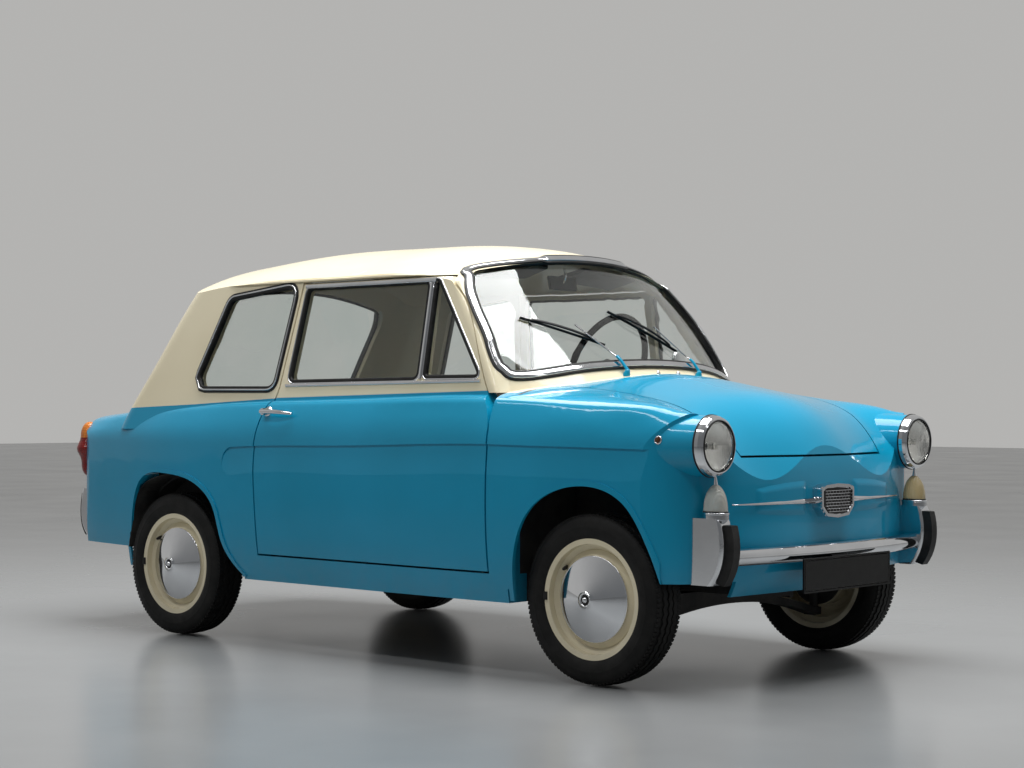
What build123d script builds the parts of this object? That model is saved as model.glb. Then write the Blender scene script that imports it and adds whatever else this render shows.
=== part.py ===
from build123d import *
import os
from math import asin, degrees, hypot

# A small two-door notchback saloon with its engine in the tail.
# Frame: +X forward, +Y to the car's left, +Z up. The origin is on the ground,
# under the middle of the whole car. All sizes are millimetres.

# ---- driving dimensions -------------------------------------------------
FRONT_AXLE = 1045
REAR_AXLE = -795
HALF_TRACK_FRONT = 560
HALF_TRACK_REAR = 567
TYRE_RADIUS = 243
TYRE_WIDTH = 124
RIM_RADIUS = 166

NOSE_X = 1431
TAIL_X = -1480
WING_FRONT = 1366
BODY_FLOOR = 215
BODY_OUT = 720
SIDE_TOP = 650
ROOF_TOP = 1316

SKIN = 12
WALL = 50
PILLAR = 34
ROOF_WALL = 26
SHUT_GAP = 6
LIP = 4
LIP_ROLL = 4
GUTTER = 7
GLASS_OUT = 12
GLASS_IN = 17

LAMP_X = 1394
LAMP_Y = 521
LAMP_Z = 675
LAMP_RADIUS = 84

DOOR_FRONT_X = 694
DOOR_SILL_Z = 303
SILL_Y = 560
BULKHEAD_X = 748
BOOT_END_X = 1354
REAR_WALL_X = -960
LID_FRONT = -1214
CREAM_OUTSET = 25
KINGPIN_Y = 505
OVERRIDER_Y = 521
REAR_OVERRIDER_Y = 490
BUMPER_BOW = 2760
FRONT_BAR_X = 1479
REAR_BAR_X = -1496
BAR_DEPTH = 24
BAR_TOP = 394
BAR_LOW = 345
KICK_X = -560
KICK_Z = 400
TUB_RADIUS = 300
JACK_SOCKETS = [(190, -520), (190, 520)]
JACK_RADIUS = 12
WHEEL_AT = Vector(355, 300, 905)

ARCH_FRONT = [(782, 150), (788, 340), (850, 484), (1020, 563), (1190, 508), (1255, 400), (1290, 300)]
ARCH_REAR = [(-405, 230), (-497, 335), (-534, 451), (-640, 530), (-799, 556), (-975, 505),
             (-1034, 342), (-1046, 290)]

# Stations of the lower body, tail to nose: place along X, half width, then the
# (y, z) of its shoulder, wing crest and valley, and the height on the centre line.
LOWER_STATIONS = [
    (-1500, 530, (500, 664), (456, 684), (300, 696), 700),
    (-1470, 543, (508, 682), (464, 706), (310, 720), 726),
    (-1430, 556, (520, 705), (476, 730), (330, 744), 750),
    (-1350, 578, (545, 718), (500, 741), (360, 756), 763),
    (-1200, 606, (576, 730), (534, 752), (400, 767), 776),
    (-900, 650, (618, 750), (580, 771), (430, 783), 792),
    (-520, 667, (634, 773), (600, 793), (430, 808), 817),
    (-430, 668, (636, 776), (602, 796), (430, 811), 820),
    (100, 670, (640, 786), (606, 806), (430, 828), 840),
    (700, 668, (634, 790), (598, 816), (430, 846), 872),
    (840, 661, (628, 785), (590, 811), (430, 842), 884),
    (1100, 640, (608, 772), (562, 800), (420, 808), 842),
    (1261, 622, (596, 750), (548, 781), (405, 752), 805),
    (1369, 606, (583, 732), (530, 759), (394, 653), 729),
    (1427, 598, (576, 724), (522, 751), (384, 566), 654),
    (1500, 590, (570, 720), (514, 750), (370, 470), 560),
]

# Plan outlines of the body at rising heights: height, then X of the nose on the
# centre line and at its sides, of the wing fronts and of the tail.
PLAN_LEVELS = [
    (100, 1376, 1352, 1330, -1436),
    (300, 1420, 1394, 1362, -1470),
    (450, NOSE_X, 1404, WING_FRONT, TAIL_X),
    (560, NOSE_X, 1404, WING_FRONT, TAIL_X),
    (640, 1423, 1398, WING_FRONT, TAIL_X),
    (700, 1406, 1386, WING_FRONT, TAIL_X),
    (790, 1388, 1376, WING_FRONT, TAIL_X),
    (1000, 1388, 1376, WING_FRONT, TAIL_X),
]

# The crease along the side: place along X, height, the body's half width there
# and how deep the panel below is set in, which fades out towards the sill.
CREASE_STATIONS = [
    (-490, 600, 667, 0.5),
    (-480, 626, 667.5, 3),
    (-462, 641, 667.6, 4.5),
    (-430, 647, 668, 5),
    (100, 659, 670, 5),
    (700, 672, 668, 5),
    (840, 670, 661, 5),
    (1100, 667, 640, 5),
    (1261, 664, 622, 4),
    (1330, 663, 612, 1),
]
CREASE_FADE = 80

# Levels of the glasshouse, belt to roof: height, X of the screen's middle and
# edge, half width at that edge, X where the corner meets the side, half width
# of the side, then the same for the rear window.
CABIN_LEVELS = [
    (700, 985, 790, 575, 740, 628, -1060, -1145, 490, -1195),
    (856, 857, 682, 556, 640, 599, -960, -1055, 482, -1112),
    (1000, 734, 592, 545, 545, 573, -858, -958, 478, -1010),
    (1100, 649, 520, 522, 478, 555, -790, -885, 476, -938),
    (1190, 572, 462, 458, 425, 539, -722, -806, 474, -862),
    (1400, 392, 300, 400, 290, 501, -560, -640, 440, -690),
]

# Stations of the roof's crown: X, then the height at the middle, at 300 mm out,
# at the gutter and beyond it.
ROOF_STATIONS = [
    (-1250, 1120, 1090, 1010, 900),
    (-850, 1266, 1238, 1152, 1050),
    (-700, 1293, 1262, 1176, 1070),
    (-520, 1309, 1277, 1189, 1080),
    (-300, ROOF_TOP, 1287, 1193, 1085),
    (0, 1313, 1285, 1192, 1085),
    (317, 1298, 1270, 1184, 1080),
    (460, 1268, 1236, 1158, 1060),
    (560, 1234, 1204, 1125, 1030),
    (900, 1060, 1030, 950, 850),
]
CROWN_OUT = (0, 300, 542, 700)

# Inside of the cabin below the windows: place along X and the body's half width.
CABIN_WALL_STATIONS = [(-960, 640), (-450, 668), (100, 670), (748, 664)]

# Each wiper: its pivot, the bend and joint of its arm, and its blade's two ends.
WIPER_ARMS = [
    ((826, -181, 880), (790, -190, 934), (698, -261, 1018), (757, -179, 967), (627, -418, 1047)),
    ((826, 181, 880), (796, 168, 930), (722, 91, 1022), (770, 163, 955), (678, -70, 1076)),
]


# ---- outer forms --------------------------------------------------------
def drawn_in(point, tangent, inset):
    """A point of an outline moved towards the inside, square to the outline."""
    length = hypot(*tangent)
    return (point[0] - inset * tangent[1] / length, point[1] + inset * tangent[0] / length)


def towards(start, end):
    return (end[0] - start[0], end[1] - start[1])


def lower_section(station, inset):
    """Outline of the lower body at one station: sides, wings and valleys."""
    _, half, shoulder, crest, valley, middle = station
    crown = [(half, SIDE_TOP), shoulder, crest, valley, (0, middle)]
    slopes = [(0, 1), towards(crown[0], crest), towards(shoulder, valley), towards(crest, crown[4]), (-1, 0)]
    crown = [drawn_in(point, slope, inset) for point, slope in zip(crown, slopes)]
    side = [(half - 30 - inset, BODY_FLOOR + inset), (half - inset, 470), crown[0]]
    for sign in (1, -1):
        turn = [(sign * y, z) for y, z in slopes]
        top = [(sign * y, z) for y, z in crown]
        Spline(*[(sign * y, z) for y, z in side], tangents=[(0.2 * sign, 1), (0, 1)])
        for start in range(4):
            Spline(top[start], top[start + 1], tangents=[turn[start], turn[start + 1]])
    Line((-side[0][0], side[0][1]), side[0])


def lower_body(inset):
    """The body below the windows, as one lofted solid."""
    with BuildPart() as body:
        for station in LOWER_STATIONS:
            with BuildSketch(Plane.YZ.offset(station[0])):
                with BuildLine():
                    lower_section(station, inset)
                make_face()
        loft()
    return body.part


def plan_outline(level, inset):
    """The body's outline from above at one height: bowed ends and round corners."""
    _, nose, nose_side, wing, tail = level
    nose -= inset
    nose_side -= inset
    wing -= inset
    tail += inset
    for sign in (1, -1):
        Spline((nose, 0), (nose_side, sign * 380), (wing, sign * 500), (wing - 26, sign * (566 - inset)),
               (wing - 80, sign * (606 - inset)), (1210, sign * (633 - inset)),
               tangents=[(0, sign), (-0.96, 0.28 * sign)])
        Line((1210, sign * (633 - inset)), (1080, sign * BODY_OUT))
        Line((1080, sign * BODY_OUT), (-1000, sign * BODY_OUT))
        Line((-1000, sign * BODY_OUT), (tail + 214, sign * (602 - inset)))
        Spline((tail + 214, sign * (602 - inset)), (tail + 138, sign * (580 - inset)),
               (tail + 62, sign * (528 - inset)), (tail + 12, sign * 380), (tail, 0),
               tangents=[(-0.97, -0.24 * sign), (0, -sign)])


def trimmed_lower_body(inset):
    """The lower body with its bowed nose and tail and round corners in plan."""
    with BuildPart() as plan:
        for level in PLAN_LEVELS:
            with BuildSketch(Plane.XY.offset(level[0])):
                with BuildLine():
                    plan_outline(level, inset)
                make_face()
        loft()
    with BuildPart() as body:
        add(lower_body(inset))
        add(plan.part, mode=Mode.INTERSECT)
    return body.part


def cabin_outline(level, inset):
    """Plan outline of the glasshouse at one height."""
    _, front, edge_x, edge_y, side_x, half, rear_side, rear_edge, rear_y, rear = level
    front -= inset
    edge_x -= inset
    edge_y -= 0.6 * inset
    side_x -= inset
    half -= inset
    rear_side += inset
    rear_edge += inset
    rear_y -= 0.6 * inset
    rear += inset
    ThreePointArc((edge_x, -edge_y), (front, 0), (edge_x, edge_y))
    Spline((edge_x, edge_y), (side_x, half), tangents=[(-0.55, 0.84), (-1, 0)])
    Line((side_x, half), (rear_side, half))
    Spline((rear_side, half), (rear_edge, rear_y), tangents=[(-1, 0), (-0.2, -0.98)])
    ThreePointArc((rear_edge, rear_y), (rear, 0), (rear_edge, -rear_y))
    Spline((rear_edge, -rear_y), (rear_side, -half), tangents=[(0.2, -0.98), (1, 0)])
    Line((rear_side, -half), (side_x, -half))
    Spline((side_x, -half), (edge_x, -edge_y), tangents=[(1, 0), (0.55, 0.84)])


def roof_dome(inset):
    """Everything under the roof's crowned surface."""
    with BuildPart() as dome:
        for station in ROOF_STATIONS:
            heights = [z - inset for z in station[1:]]
            half = list(zip(CROWN_OUT, heights))
            crown = [(-y, z) for y, z in reversed(half[1:])] + half
            with BuildSketch(Plane.YZ.offset(station[0])):
                with BuildLine():
                    Spline(*crown)
                    Line(crown[-1], (CROWN_OUT[-1], 600))
                    Line((CROWN_OUT[-1], 600), (-CROWN_OUT[-1], 600))
                    Line((-CROWN_OUT[-1], 600), crown[0])
                make_face()
        loft()
    return dome.part


def cabin_body(inset, roof_inset):
    """The glasshouse from belt to roof, as one solid."""
    with BuildPart() as cabin:
        for level in CABIN_LEVELS:
            with BuildSketch(Plane.XY.offset(level[0])):
                with BuildLine():
                    cabin_outline(level, inset)
                make_face()
        loft()
        add(roof_dome(roof_inset), mode=Mode.INTERSECT)
    return cabin.part


def memo(make):
    """Keep each lofted body, so that it is made once for each inset."""
    made = {}

    def kept(*insets):
        if insets not in made:
            made[insets] = make(*insets)
        return made[insets]
    return kept


def crease_cut():
    """The wedge taken from the right side under its crease."""
    with BuildPart() as wedge:
        for x, top, half, depth in CREASE_STATIONS:
            low = top - CREASE_FADE * (depth + 4) / 5
            with BuildSketch(Plane.YZ.offset(x)):
                with BuildLine():
                    Polyline((depth - half, top), (-half - 4, top), (-half - 4, low), close=True)
                make_face()
        loft()
    return wedge.part


def lamp_pods(radius, front):
    """The round wing fronts that carry the headlamps."""
    with BuildPart() as pods:
        for side in (-1, 1):
            with BuildSketch(Plane((front, side * LAMP_Y, LAMP_Z), x_dir=(0, 1, 0), z_dir=(-1, 0, 0))):
                Circle(radius)
            extrude(amount=170, taper=-4)
    return pods.part


def slab(low, high, mode=Mode.ADD):
    """A plain block between two corners, added to the part in hand."""
    size = [b - a for a, b in zip(low, high)]
    middle = [(a + b) / 2 for a, b in zip(low, high)]
    with Locations(tuple(middle)):
        Box(*size, mode=mode)


def grown(points, axle, grow):
    """An arch's outline, moved out from its wheel's centre."""
    hub = Vector(axle, TYRE_RADIUS)
    return [Vector(*point) + (Vector(*point) - hub).normalized() * grow for point in points]


def arch_openings(grow):
    """The wheel arches' side openings on the right, grown for their rolled lips."""
    front = grown(ARCH_FRONT, FRONT_AXLE, grow)
    rear = grown(ARCH_REAR, REAR_AXLE, grow)
    ahead = front[-1].X + 20
    with BuildPart() as openings:
        with BuildSketch(Plane.XZ.offset(330)):
            with BuildLine():
                Spline(*front, tangents=[(0, 1), (0.3, -1)])
                Polyline(front[-1], (ahead, 300), (ahead, 100), (front[0].X, 100), front[0])
            make_face()
            with BuildLine():
                Spline(*rear, tangents=[(-1, 0.7), (-0.1, -1)])
                Polyline(rear[-1], (rear[-1].X, 100), (rear[0].X, 100), rear[0])
            make_face()
        extrude(amount=400)
    return openings.part


def arch_lips():
    """The rolled lips that stand out round the right wheel arches."""
    with BuildPart() as lips:
        add(trimmed_lower_body(-LIP))
        add(trimmed_lower_body(LIP), mode=Mode.SUBTRACT)
        add(arch_openings(3 * LIP), mode=Mode.INTERSECT)
        add(arch_openings(-LIP_ROLL), mode=Mode.SUBTRACT)
        slab((-1200, -BODY_OUT, BODY_FLOOR + 2 * LIP), (1286, -SILL_Y, 600), Mode.INTERSECT)
    return lips.part


cabin_body = memo(cabin_body)
trimmed_lower_body = memo(trimmed_lower_body)


def outer_body():
    """The right half of the whole body's outer form."""
    with BuildPart() as outer:
        add(trimmed_lower_body(0))
        add(crease_cut(), mode=Mode.SUBTRACT)
        add(lamp_pods(LAMP_RADIUS - 2, LAMP_X))
        add(cabin_body(0, 0))
        slab((-1600, -BODY_OUT, 0), (1600, 0, 1400), Mode.INTERSECT)
    return outer.part


# ---- hollow shell -------------------------------------------------------
def hollow_space():
    """The boot, cabin and engine bay, with solid cross walls left between."""
    with BuildPart() as cabin_low:
        for x, half in CABIN_WALL_STATIONS:
            with BuildSketch(Plane.YZ.offset(x)):
                with BuildLine():
                    side = [(half - 84, 247), (half - WALL, 560), (half - WALL - 3, 730)]
                    Spline(*side)
                    Line(side[-1], (-side[-1][0], side[-1][1]))
                    Spline(*[(-y, z) for y, z in reversed(side)])
                    Line((-side[0][0], side[0][1]), side[0])
                make_face()
        loft()
    with BuildPart() as nose:
        add(trimmed_lower_body(SKIN))
        add(lamp_pods(LAMP_RADIUS - 14, LAMP_X - 10))
        slab((BULKHEAD_X + SKIN, -700, 0), (1500, 700, 1000), Mode.INTERSECT)
    with BuildPart() as tail:
        add(trimmed_lower_body(SKIN))
        slab((-1600, -700, 0), (REAR_WALL_X - SKIN, 700, 1000), Mode.INTERSECT)
    with BuildPart() as spaces:
        add(nose.part)
        add(tail.part)
        add(cabin_low.part)
        add(cabin_body(PILLAR, ROOF_WALL))
    return spaces.part


# ---- where the shell is split ------------------------------------------
def arch_wells():
    """The open spaces round the right wheels, through the side skin and the floor."""
    with BuildPart() as wells:
        add(arch_openings(0))
        slab((BULKHEAD_X + SKIN, -BODY_OUT, 0), (1600, 1, 256))
        slab((1280, -BODY_OUT, 0), (1600, -400, 300))
        slab((-1600, -BODY_OUT, 0), (REAR_WALL_X - SKIN, 1, 290))
    return wells.part


def door_outline(grow):
    """The side outline of a door, seen along Y, grown by the shut gap."""
    front = DOOR_FRONT_X + grow
    sill = DOOR_SILL_Z - grow
    rear = -323 - grow
    top = 1176 + grow
    Line((rear + 3, sill), (front - 4, sill))
    Line((front - 4, sill), (front, 700))
    Spline((front, 700), (646 + grow, 819), (500 + grow, 1098), (424 + grow, top),
           tangents=[(0.05, 1), (-0.75, 0.75)])
    Line((424 + grow, top), (-226 - grow, top))
    Line((-226 - grow, top), (-275 - grow, 845))
    Spline((-275 - grow, 845), (-288 - grow, 806), (rear - 5, 638), (rear, 476), (rear + 3, sill),
           tangents=[(-0.2, -1), (0.02, -1)])


def door_space(grow):
    """The right door's place through the side of the body."""
    with BuildPart() as space:
        with BuildSketch(Plane.XZ.offset(480)):
            with BuildLine():
                door_outline(grow)
            make_face()
        extrude(amount=260)
    return space.part


VENT_PANE = ([(604, 868), (388, 1162), (372, 1162), (372, 868)], 14)
DOOR_PANE = ([(345, 1162), (-207, 1162), (-240, 858), (345, 863)], 24)
QUARTER_PANE = ([(-256, 1174), (-588, 1140), (-722, 838), (-307, 836)], 42)

# Bowed end windows, right half: (y, z) along the bottom, the side and the top.
SCREEN_PANE = [(0, 908), (280, 897), (505, 868), (553, 915), (529, 1075), (440, 1199), (210, 1231), (0, 1240)]
REAR_PANE = [(0, 838), (230, 832), (400, 814), (442, 855), (430, 1060), (370, 1150), (180, 1186), (0, 1196)]


def side_windows(panes):
    """The right side's windows, as solids through the cabin's wall."""
    with BuildPart() as spaces:
        with BuildSketch(Plane.XZ.offset(400)):
            for pane, radius in panes:
                with BuildLine():
                    FilletPolyline(*pane, radius=radius, close=True)
                make_face()
        extrude(amount=300)
    return spaces.part


def bowed_pane(points):
    """Outline of a windscreen: bowed bottom and top, straight sides, round corners."""
    rise = towards(points[3], points[4])
    for sign in (1, -1):
        turned = [(sign * y, z) for y, z in points]
        bottom, low, high, top = turned[:3], turned[3:4], turned[4:5], turned[5:]
        Spline(*bottom, tangents=[(sign, 0), (0.97 * sign, -0.22)])
        Spline(bottom[-1], low[0], tangents=[(0.97 * sign, -0.22), (sign * rise[0], rise[1])])
        Line(low[0], high[0])
        Spline(high[0], top[0], tangents=[(sign * rise[0], rise[1]), (-0.97 * sign, 0.2)])
        Spline(*top, tangents=[(-0.97 * sign, 0.2), (-sign, 0)])


def end_windows():
    """The windscreen's and the rear window's solids, through the cabin's ends."""
    with BuildPart() as spaces:
        for pane, start, length in ((SCREEN_PANE, 430, 600), (REAR_PANE, -780, -500)):
            with BuildSketch(Plane.YZ.offset(start)):
                with BuildLine():
                    bowed_pane(pane)
                make_face()
            extrude(amount=length)
    return spaces.part


def bonnet_space(grow):
    """The bonnet's place in plan, above its front edge."""
    half = [(1520, 322 + grow), (1400, 348 + grow), (1250, 400 + grow), (1000, 436 + grow), (766, 452 + grow)]
    with BuildPart() as space:
        with BuildSketch(Plane.XY.offset(646 - grow)):
            with BuildLine():
                Polyline(*half)
                Line(half[-1], (766, -452 - grow))
                Polyline(*[(x, -y) for x, y in reversed(half)])
                Line((1520, -322 - grow), half[0])
            make_face()
        extrude(amount=400)
        add(cabin_body(-CREAM_OUTSET - SHUT_GAP + grow, -60), mode=Mode.SUBTRACT)
    return space.part


def lid_space(grow):
    """The engine lid's place: the rear deck and the top of the tail."""
    with BuildPart() as space:
        slab((-1600, -405 - grow, 500 - grow), (LID_FRONT + grow, 405 + grow, 900))
        fillet(space.edges().filter_by(Axis.X), 45)
    return space.part


def lid_louvres():
    """Slots through the tail of the engine lid, which let the engine's air out."""
    with BuildPart() as louvres:
        with BuildSketch(Plane.YZ.offset(TAIL_X - 40)):
            for side in (-1, 1):
                with Locations((side * 200, 600)):
                    with GridLocations(0, 20, 1, 6):
                        SlotOverall(220, 8)
        extrude(amount=80)
    return louvres.part


def above_belt():
    """Everything above the line where the cabin's cream meets the body colour."""
    belt = [(1000, 822), (0, 820), (-290, 806), (-700, 786), (-1300, 764)]
    with BuildPart() as space:
        with BuildSketch(Plane.XZ.offset(-720)):
            with BuildLine():
                Polyline(*belt)
                Polyline(belt[-1], (-1300, 1400), (1000, 1400), belt[0])
            make_face()
        extrude(amount=1440)
    return space.part


def carve(source, region, rest):
    """Take a region out of a source shape; returns the piece and what is left."""
    with BuildPart() as piece:
        add(source)
        add(region, mode=Mode.INTERSECT)
    with BuildPart() as left:
        add(source)
        add(rest, mode=Mode.SUBTRACT)
    return piece.part, left.part


def half_space(low, high):
    """A large block between two corners."""
    with BuildPart() as block:
        slab(low, high)
    return block.part


# ---- body panels --------------------------------------------------------
pieces = {}


def whole(half):
    """A centre piece from its right half."""
    with BuildPart() as both:
        add(half)
        mirror(about=Plane.XZ)
    return both.part


def left_of(right):
    """The left piece that mirrors a right one."""
    with BuildPart() as other:
        add(mirror(right, about=Plane.XZ))
    return other.part


with BuildPart() as shell:
    add(outer_body())
    add(hollow_space(), mode=Mode.SUBTRACT)
    add(arch_wells(), mode=Mode.SUBTRACT)
    add(side_windows([VENT_PANE, DOOR_PANE, QUARTER_PANE]), mode=Mode.SUBTRACT)
    add(end_windows(), mode=Mode.SUBTRACT)

pieces["door_right"], rest = carve(shell.part, door_space(0), door_space(SHUT_GAP))
bonnet_half, rest = carve(rest, bonnet_space(0), bonnet_space(SHUT_GAP))
lid_half, rest = carve(rest, lid_space(0), lid_space(SHUT_GAP))

with BuildPart() as cream_space:
    add(cabin_body(-CREAM_OUTSET, -60))
    add(above_belt(), mode=Mode.INTERSECT)
cream_half, rest = carve(rest, cream_space.part, cream_space.part)

sill_top = DOOR_SILL_Z - SHUT_GAP
with BuildPart() as floor_space:
    slab((REAR_WALL_X - SKIN, -SILL_Y, 0), (BULKHEAD_X + SKIN, SILL_Y, sill_top))
    slab((BULKHEAD_X, -590, sill_top), (BULKHEAD_X + SKIN, 590, 900))
    slab((REAR_WALL_X - SKIN, -SILL_Y, sill_top), (REAR_WALL_X, SILL_Y, 740))
floor_half, rest = carve(rest, floor_space.part, floor_space.part)

nose_space = half_space((1200, -400, 0), (1600, 0, 700))
nose_half, rest = carve(rest, nose_space, nose_space)
tail_space = half_space((-1600, -440, 0), (-1215, 0, 800))
tail_half, rest = carve(rest, tail_space, tail_space)
front_space = half_space((DOOR_FRONT_X + 3, -BODY_OUT, 0), (1600, 0, 1400))
fender_half, quarter_half = carve(rest, front_space, front_space)
lips = sorted(arch_lips().solids(), key=lambda lip: lip.center().X)
for name, panel, lip in (("quarter", quarter_half, lips[0]), ("fender", fender_half, lips[-1])):
    with BuildPart() as lipped:
        add(panel)
        add(lip)
    pieces[name + "_right"] = lipped.part

with BuildPart() as lid_right:
    add(lid_half)
    add(lid_louvres(), mode=Mode.SUBTRACT)
with BuildPart() as gutter:
    add(cabin_body(-GUTTER, 0))
    slab((-715, -BODY_OUT, 1185), (420, GUTTER - 530, 1192), Mode.INTERSECT)
with BuildPart() as cream_right:
    add(cream_half)
    add(gutter.part)

for name in ("door", "fender", "quarter"):
    pieces[name + "_left"] = left_of(pieces[name + "_right"])
centre_halves = {"bonnet": bonnet_half, "engine_lid": lid_right.part, "greenhouse": cream_right.part,
                 "floor_pan": floor_half, "nose_panel": nose_half, "tail_panel": tail_half}
for name, half in centre_halves.items():
    pieces[name] = whole(half)


# ---- glass --------------------------------------------------------------
def biggest(part, count=1):
    """The largest solids of a part, without slivers."""
    solids = sorted(part.solids(), key=lambda solid: solid.volume, reverse=True)
    with BuildPart() as kept:
        for solid in solids[:count]:
            add(solid)
    return kept.part


with BuildPart() as pane_shell:
    add(cabin_body(GLASS_OUT, GLASS_OUT))
    add(cabin_body(GLASS_IN, GLASS_IN), mode=Mode.SUBTRACT)


def panes(space):
    """The part of the curved glass layer inside a window's space."""
    with BuildPart() as glass:
        add(pane_shell.part)
        add(space, mode=Mode.INTERSECT)
    return glass.part


pieces["door_glass_right"] = panes(side_windows([VENT_PANE, DOOR_PANE]))
pieces["door_glass_left"] = left_of(pieces["door_glass_right"])
with BuildPart() as fixed_glass:
    add(panes(side_windows([QUARTER_PANE])))
    mirror(about=Plane.XZ)
    add(panes(end_windows()))
pieces["fixed_glass"] = fixed_glass.part


# ---- wheels -------------------------------------------------------------
def tyre(x, y, outward):
    """A cross-ply tyre: round shoulders on a flat tread."""
    half = TYRE_WIDTH / 2
    bead = RIM_RADIUS - 6
    with BuildPart() as part:
        with BuildSketch(Plane((x, y, TYRE_RADIUS), x_dir=(0, outward, 0), z_dir=(outward, 0, 0))):
            with BuildLine():
                Line((-42, bead), (42, bead))
                Spline((42, bead), (half, 203), (45, 238), tangents=[(0.3, 1), (-0.8, 0.5)])
                ThreePointArc((45, 238), (0, TYRE_RADIUS), (-45, 238))
                Spline((-45, 238), (-half, 203), (-42, bead), tangents=[(-0.8, -0.5), (0.3, -1)])
            make_face()
        revolve(axis=Axis((x, y, TYRE_RADIUS), (0, 1, 0)))
    return part.part


def rim(x, y, outward):
    """A pressed steel wheel: well-base rim, ridged disc and the brake drum behind it."""
    seat = RIM_RADIUS - 6
    barrel = [(-53, 170), (-49, 170), (-46, seat), (-28, seat), (-18, 142), (18, 142), (28, seat), (46, seat),
              (49, 170), (53, 170), (51, 155), (31, 154), (21, 137), (-21, 137), (-31, 154), (-51, 155)]
    disc = [(16, 139), (24, 138), (35, 120), (38, 106), (35, 92), (24, 78), (22, 60), (22, 16), (-28, 16),
            (-28, 28), (8, 32), (8, 86), (-34, 90), (-34, 97), (13, 97), (17, 84), (29, 96), (32, 106),
            (29, 118), (18, 133)]
    with BuildPart() as part:
        with BuildSketch(Plane((x, y, TYRE_RADIUS), x_dir=(0, outward, 0), z_dir=(outward, 0, 0))):
            for outline in (barrel, disc):
                with BuildLine():
                    Polyline(*outline, close=True)
                make_face()
        revolve(axis=Axis((x, y, TYRE_RADIUS), (0, 1, 0)))
    return part.part


def hubcap(x, y, outward):
    """A plated cone with a raised button on the wheel's middle."""
    with BuildPart() as part:
        with BuildSketch(Plane((x, y, TYRE_RADIUS), x_dir=(0, outward, 0), z_dir=(outward, 0, 0))):
            with BuildLine():
                Polyline((22.5, 0), (22.5, 60), (24.5, 77.5), (31, 86), (36, 87), (40, 82))
                Spline((40, 82), (48, 56), (56, 24), tangents=[(0.1, -1), (0.5, -1)])
                Polyline((56, 24), (59, 21), (61, 12), (60, 0), (22.5, 0))
            make_face()
        revolve(axis=Axis((x, y, TYRE_RADIUS), (0, 1, 0)))
    return part.part


# ---- running gear -------------------------------------------------------
def knuckle(side):
    """A front upright with its stub axle and brake backplate."""
    y = side * HALF_TRACK_FRONT
    with BuildPart() as part:
        with BuildSketch(Plane((FRONT_AXLE, y, TYRE_RADIUS), x_dir=(0, side, 0), z_dir=(side, 0, 0))):
            with BuildLine():
                Polyline((14, 0), (14, 15.5), (-36, 15.5), (-36, 30), (-38, 94), (-42, 94), (-42, 34),
                         (-56, 24), (-56, 0), (14, 0))
            make_face()
        revolve(axis=Axis((FRONT_AXLE, y, TYRE_RADIUS), (0, 1, 0)))
        with BuildSketch(Plane.XY.offset(142.5)):
            with Locations((FRONT_AXLE, side * KINGPIN_Y)):
                Circle(14)
        extrude(amount=361.5 - 142.5)
    return part.part


with BuildPart() as front_suspension:
    with BuildSketch(Plane.YZ.offset(FRONT_AXLE - 30)):
        with BuildLine():
            ThreePointArc((-485, 140), (0, 214), (485, 140))
            Line((485, 140), (485, 120))
            ThreePointArc((485, 120), (0, 190), (-485, 120))
            Line((-485, 120), (-485, 140))
        make_face()
    extrude(amount=60)
    blocks = ((20, 478, 518, 118, 142), (60, 280, 300, 190, 400), (20, 334, 518, 362, 380))
    for half, inner, outer, low, high in blocks:
        slab((FRONT_AXLE - half, -outer, low), (FRONT_AXLE + half, -inner, high))
        slab((FRONT_AXLE - half, inner, low), (FRONT_AXLE + half, outer, high))
    slab((FRONT_AXLE - 60, -300, 196), (FRONT_AXLE + 60, 300, 240))
pieces["front_suspension"] = front_suspension.part

TRAILING_ARM = [(-850, 490), (-720, 490), (-580, 440), (-566, 170), (-606, 170), (-640, 380), (-740, 440),
                (-850, 440)]
STUB_AXLE = [(14, 0), (14, 15.5), (-36, 15.5), (-38, 94), (-42, 94), (-42, 60), (-80, 50), (-80, 0)]
with BuildPart() as rear_suspension:
    for side in (-1, 1):
        with BuildSketch(Plane.XY.offset(TYRE_RADIUS - 14)):
            with BuildLine():
                Polyline(*[(x, side * y) for x, y in TRAILING_ARM], close=True)
            make_face()
        extrude(amount=28)
        hub = (REAR_AXLE, side * HALF_TRACK_REAR, TYRE_RADIUS)
        with BuildSketch(Plane(hub, x_dir=(0, side, 0), z_dir=(side, 0, 0))):
            with BuildLine():
                Polyline(*STUB_AXLE, close=True)
            make_face()
        revolve(axis=Axis(hub, (0, 1, 0)))
pieces["rear_suspension"] = rear_suspension.part

with BuildPart() as powertrain:
    slab((-1380, -230, 290), (REAR_WALL_X - SKIN, 230, 620))
    fillet(powertrain.edges().filter_by(Axis.Y).sort_by(Axis.X)[:2], 30)
pieces["powertrain"] = powertrain.part

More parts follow.
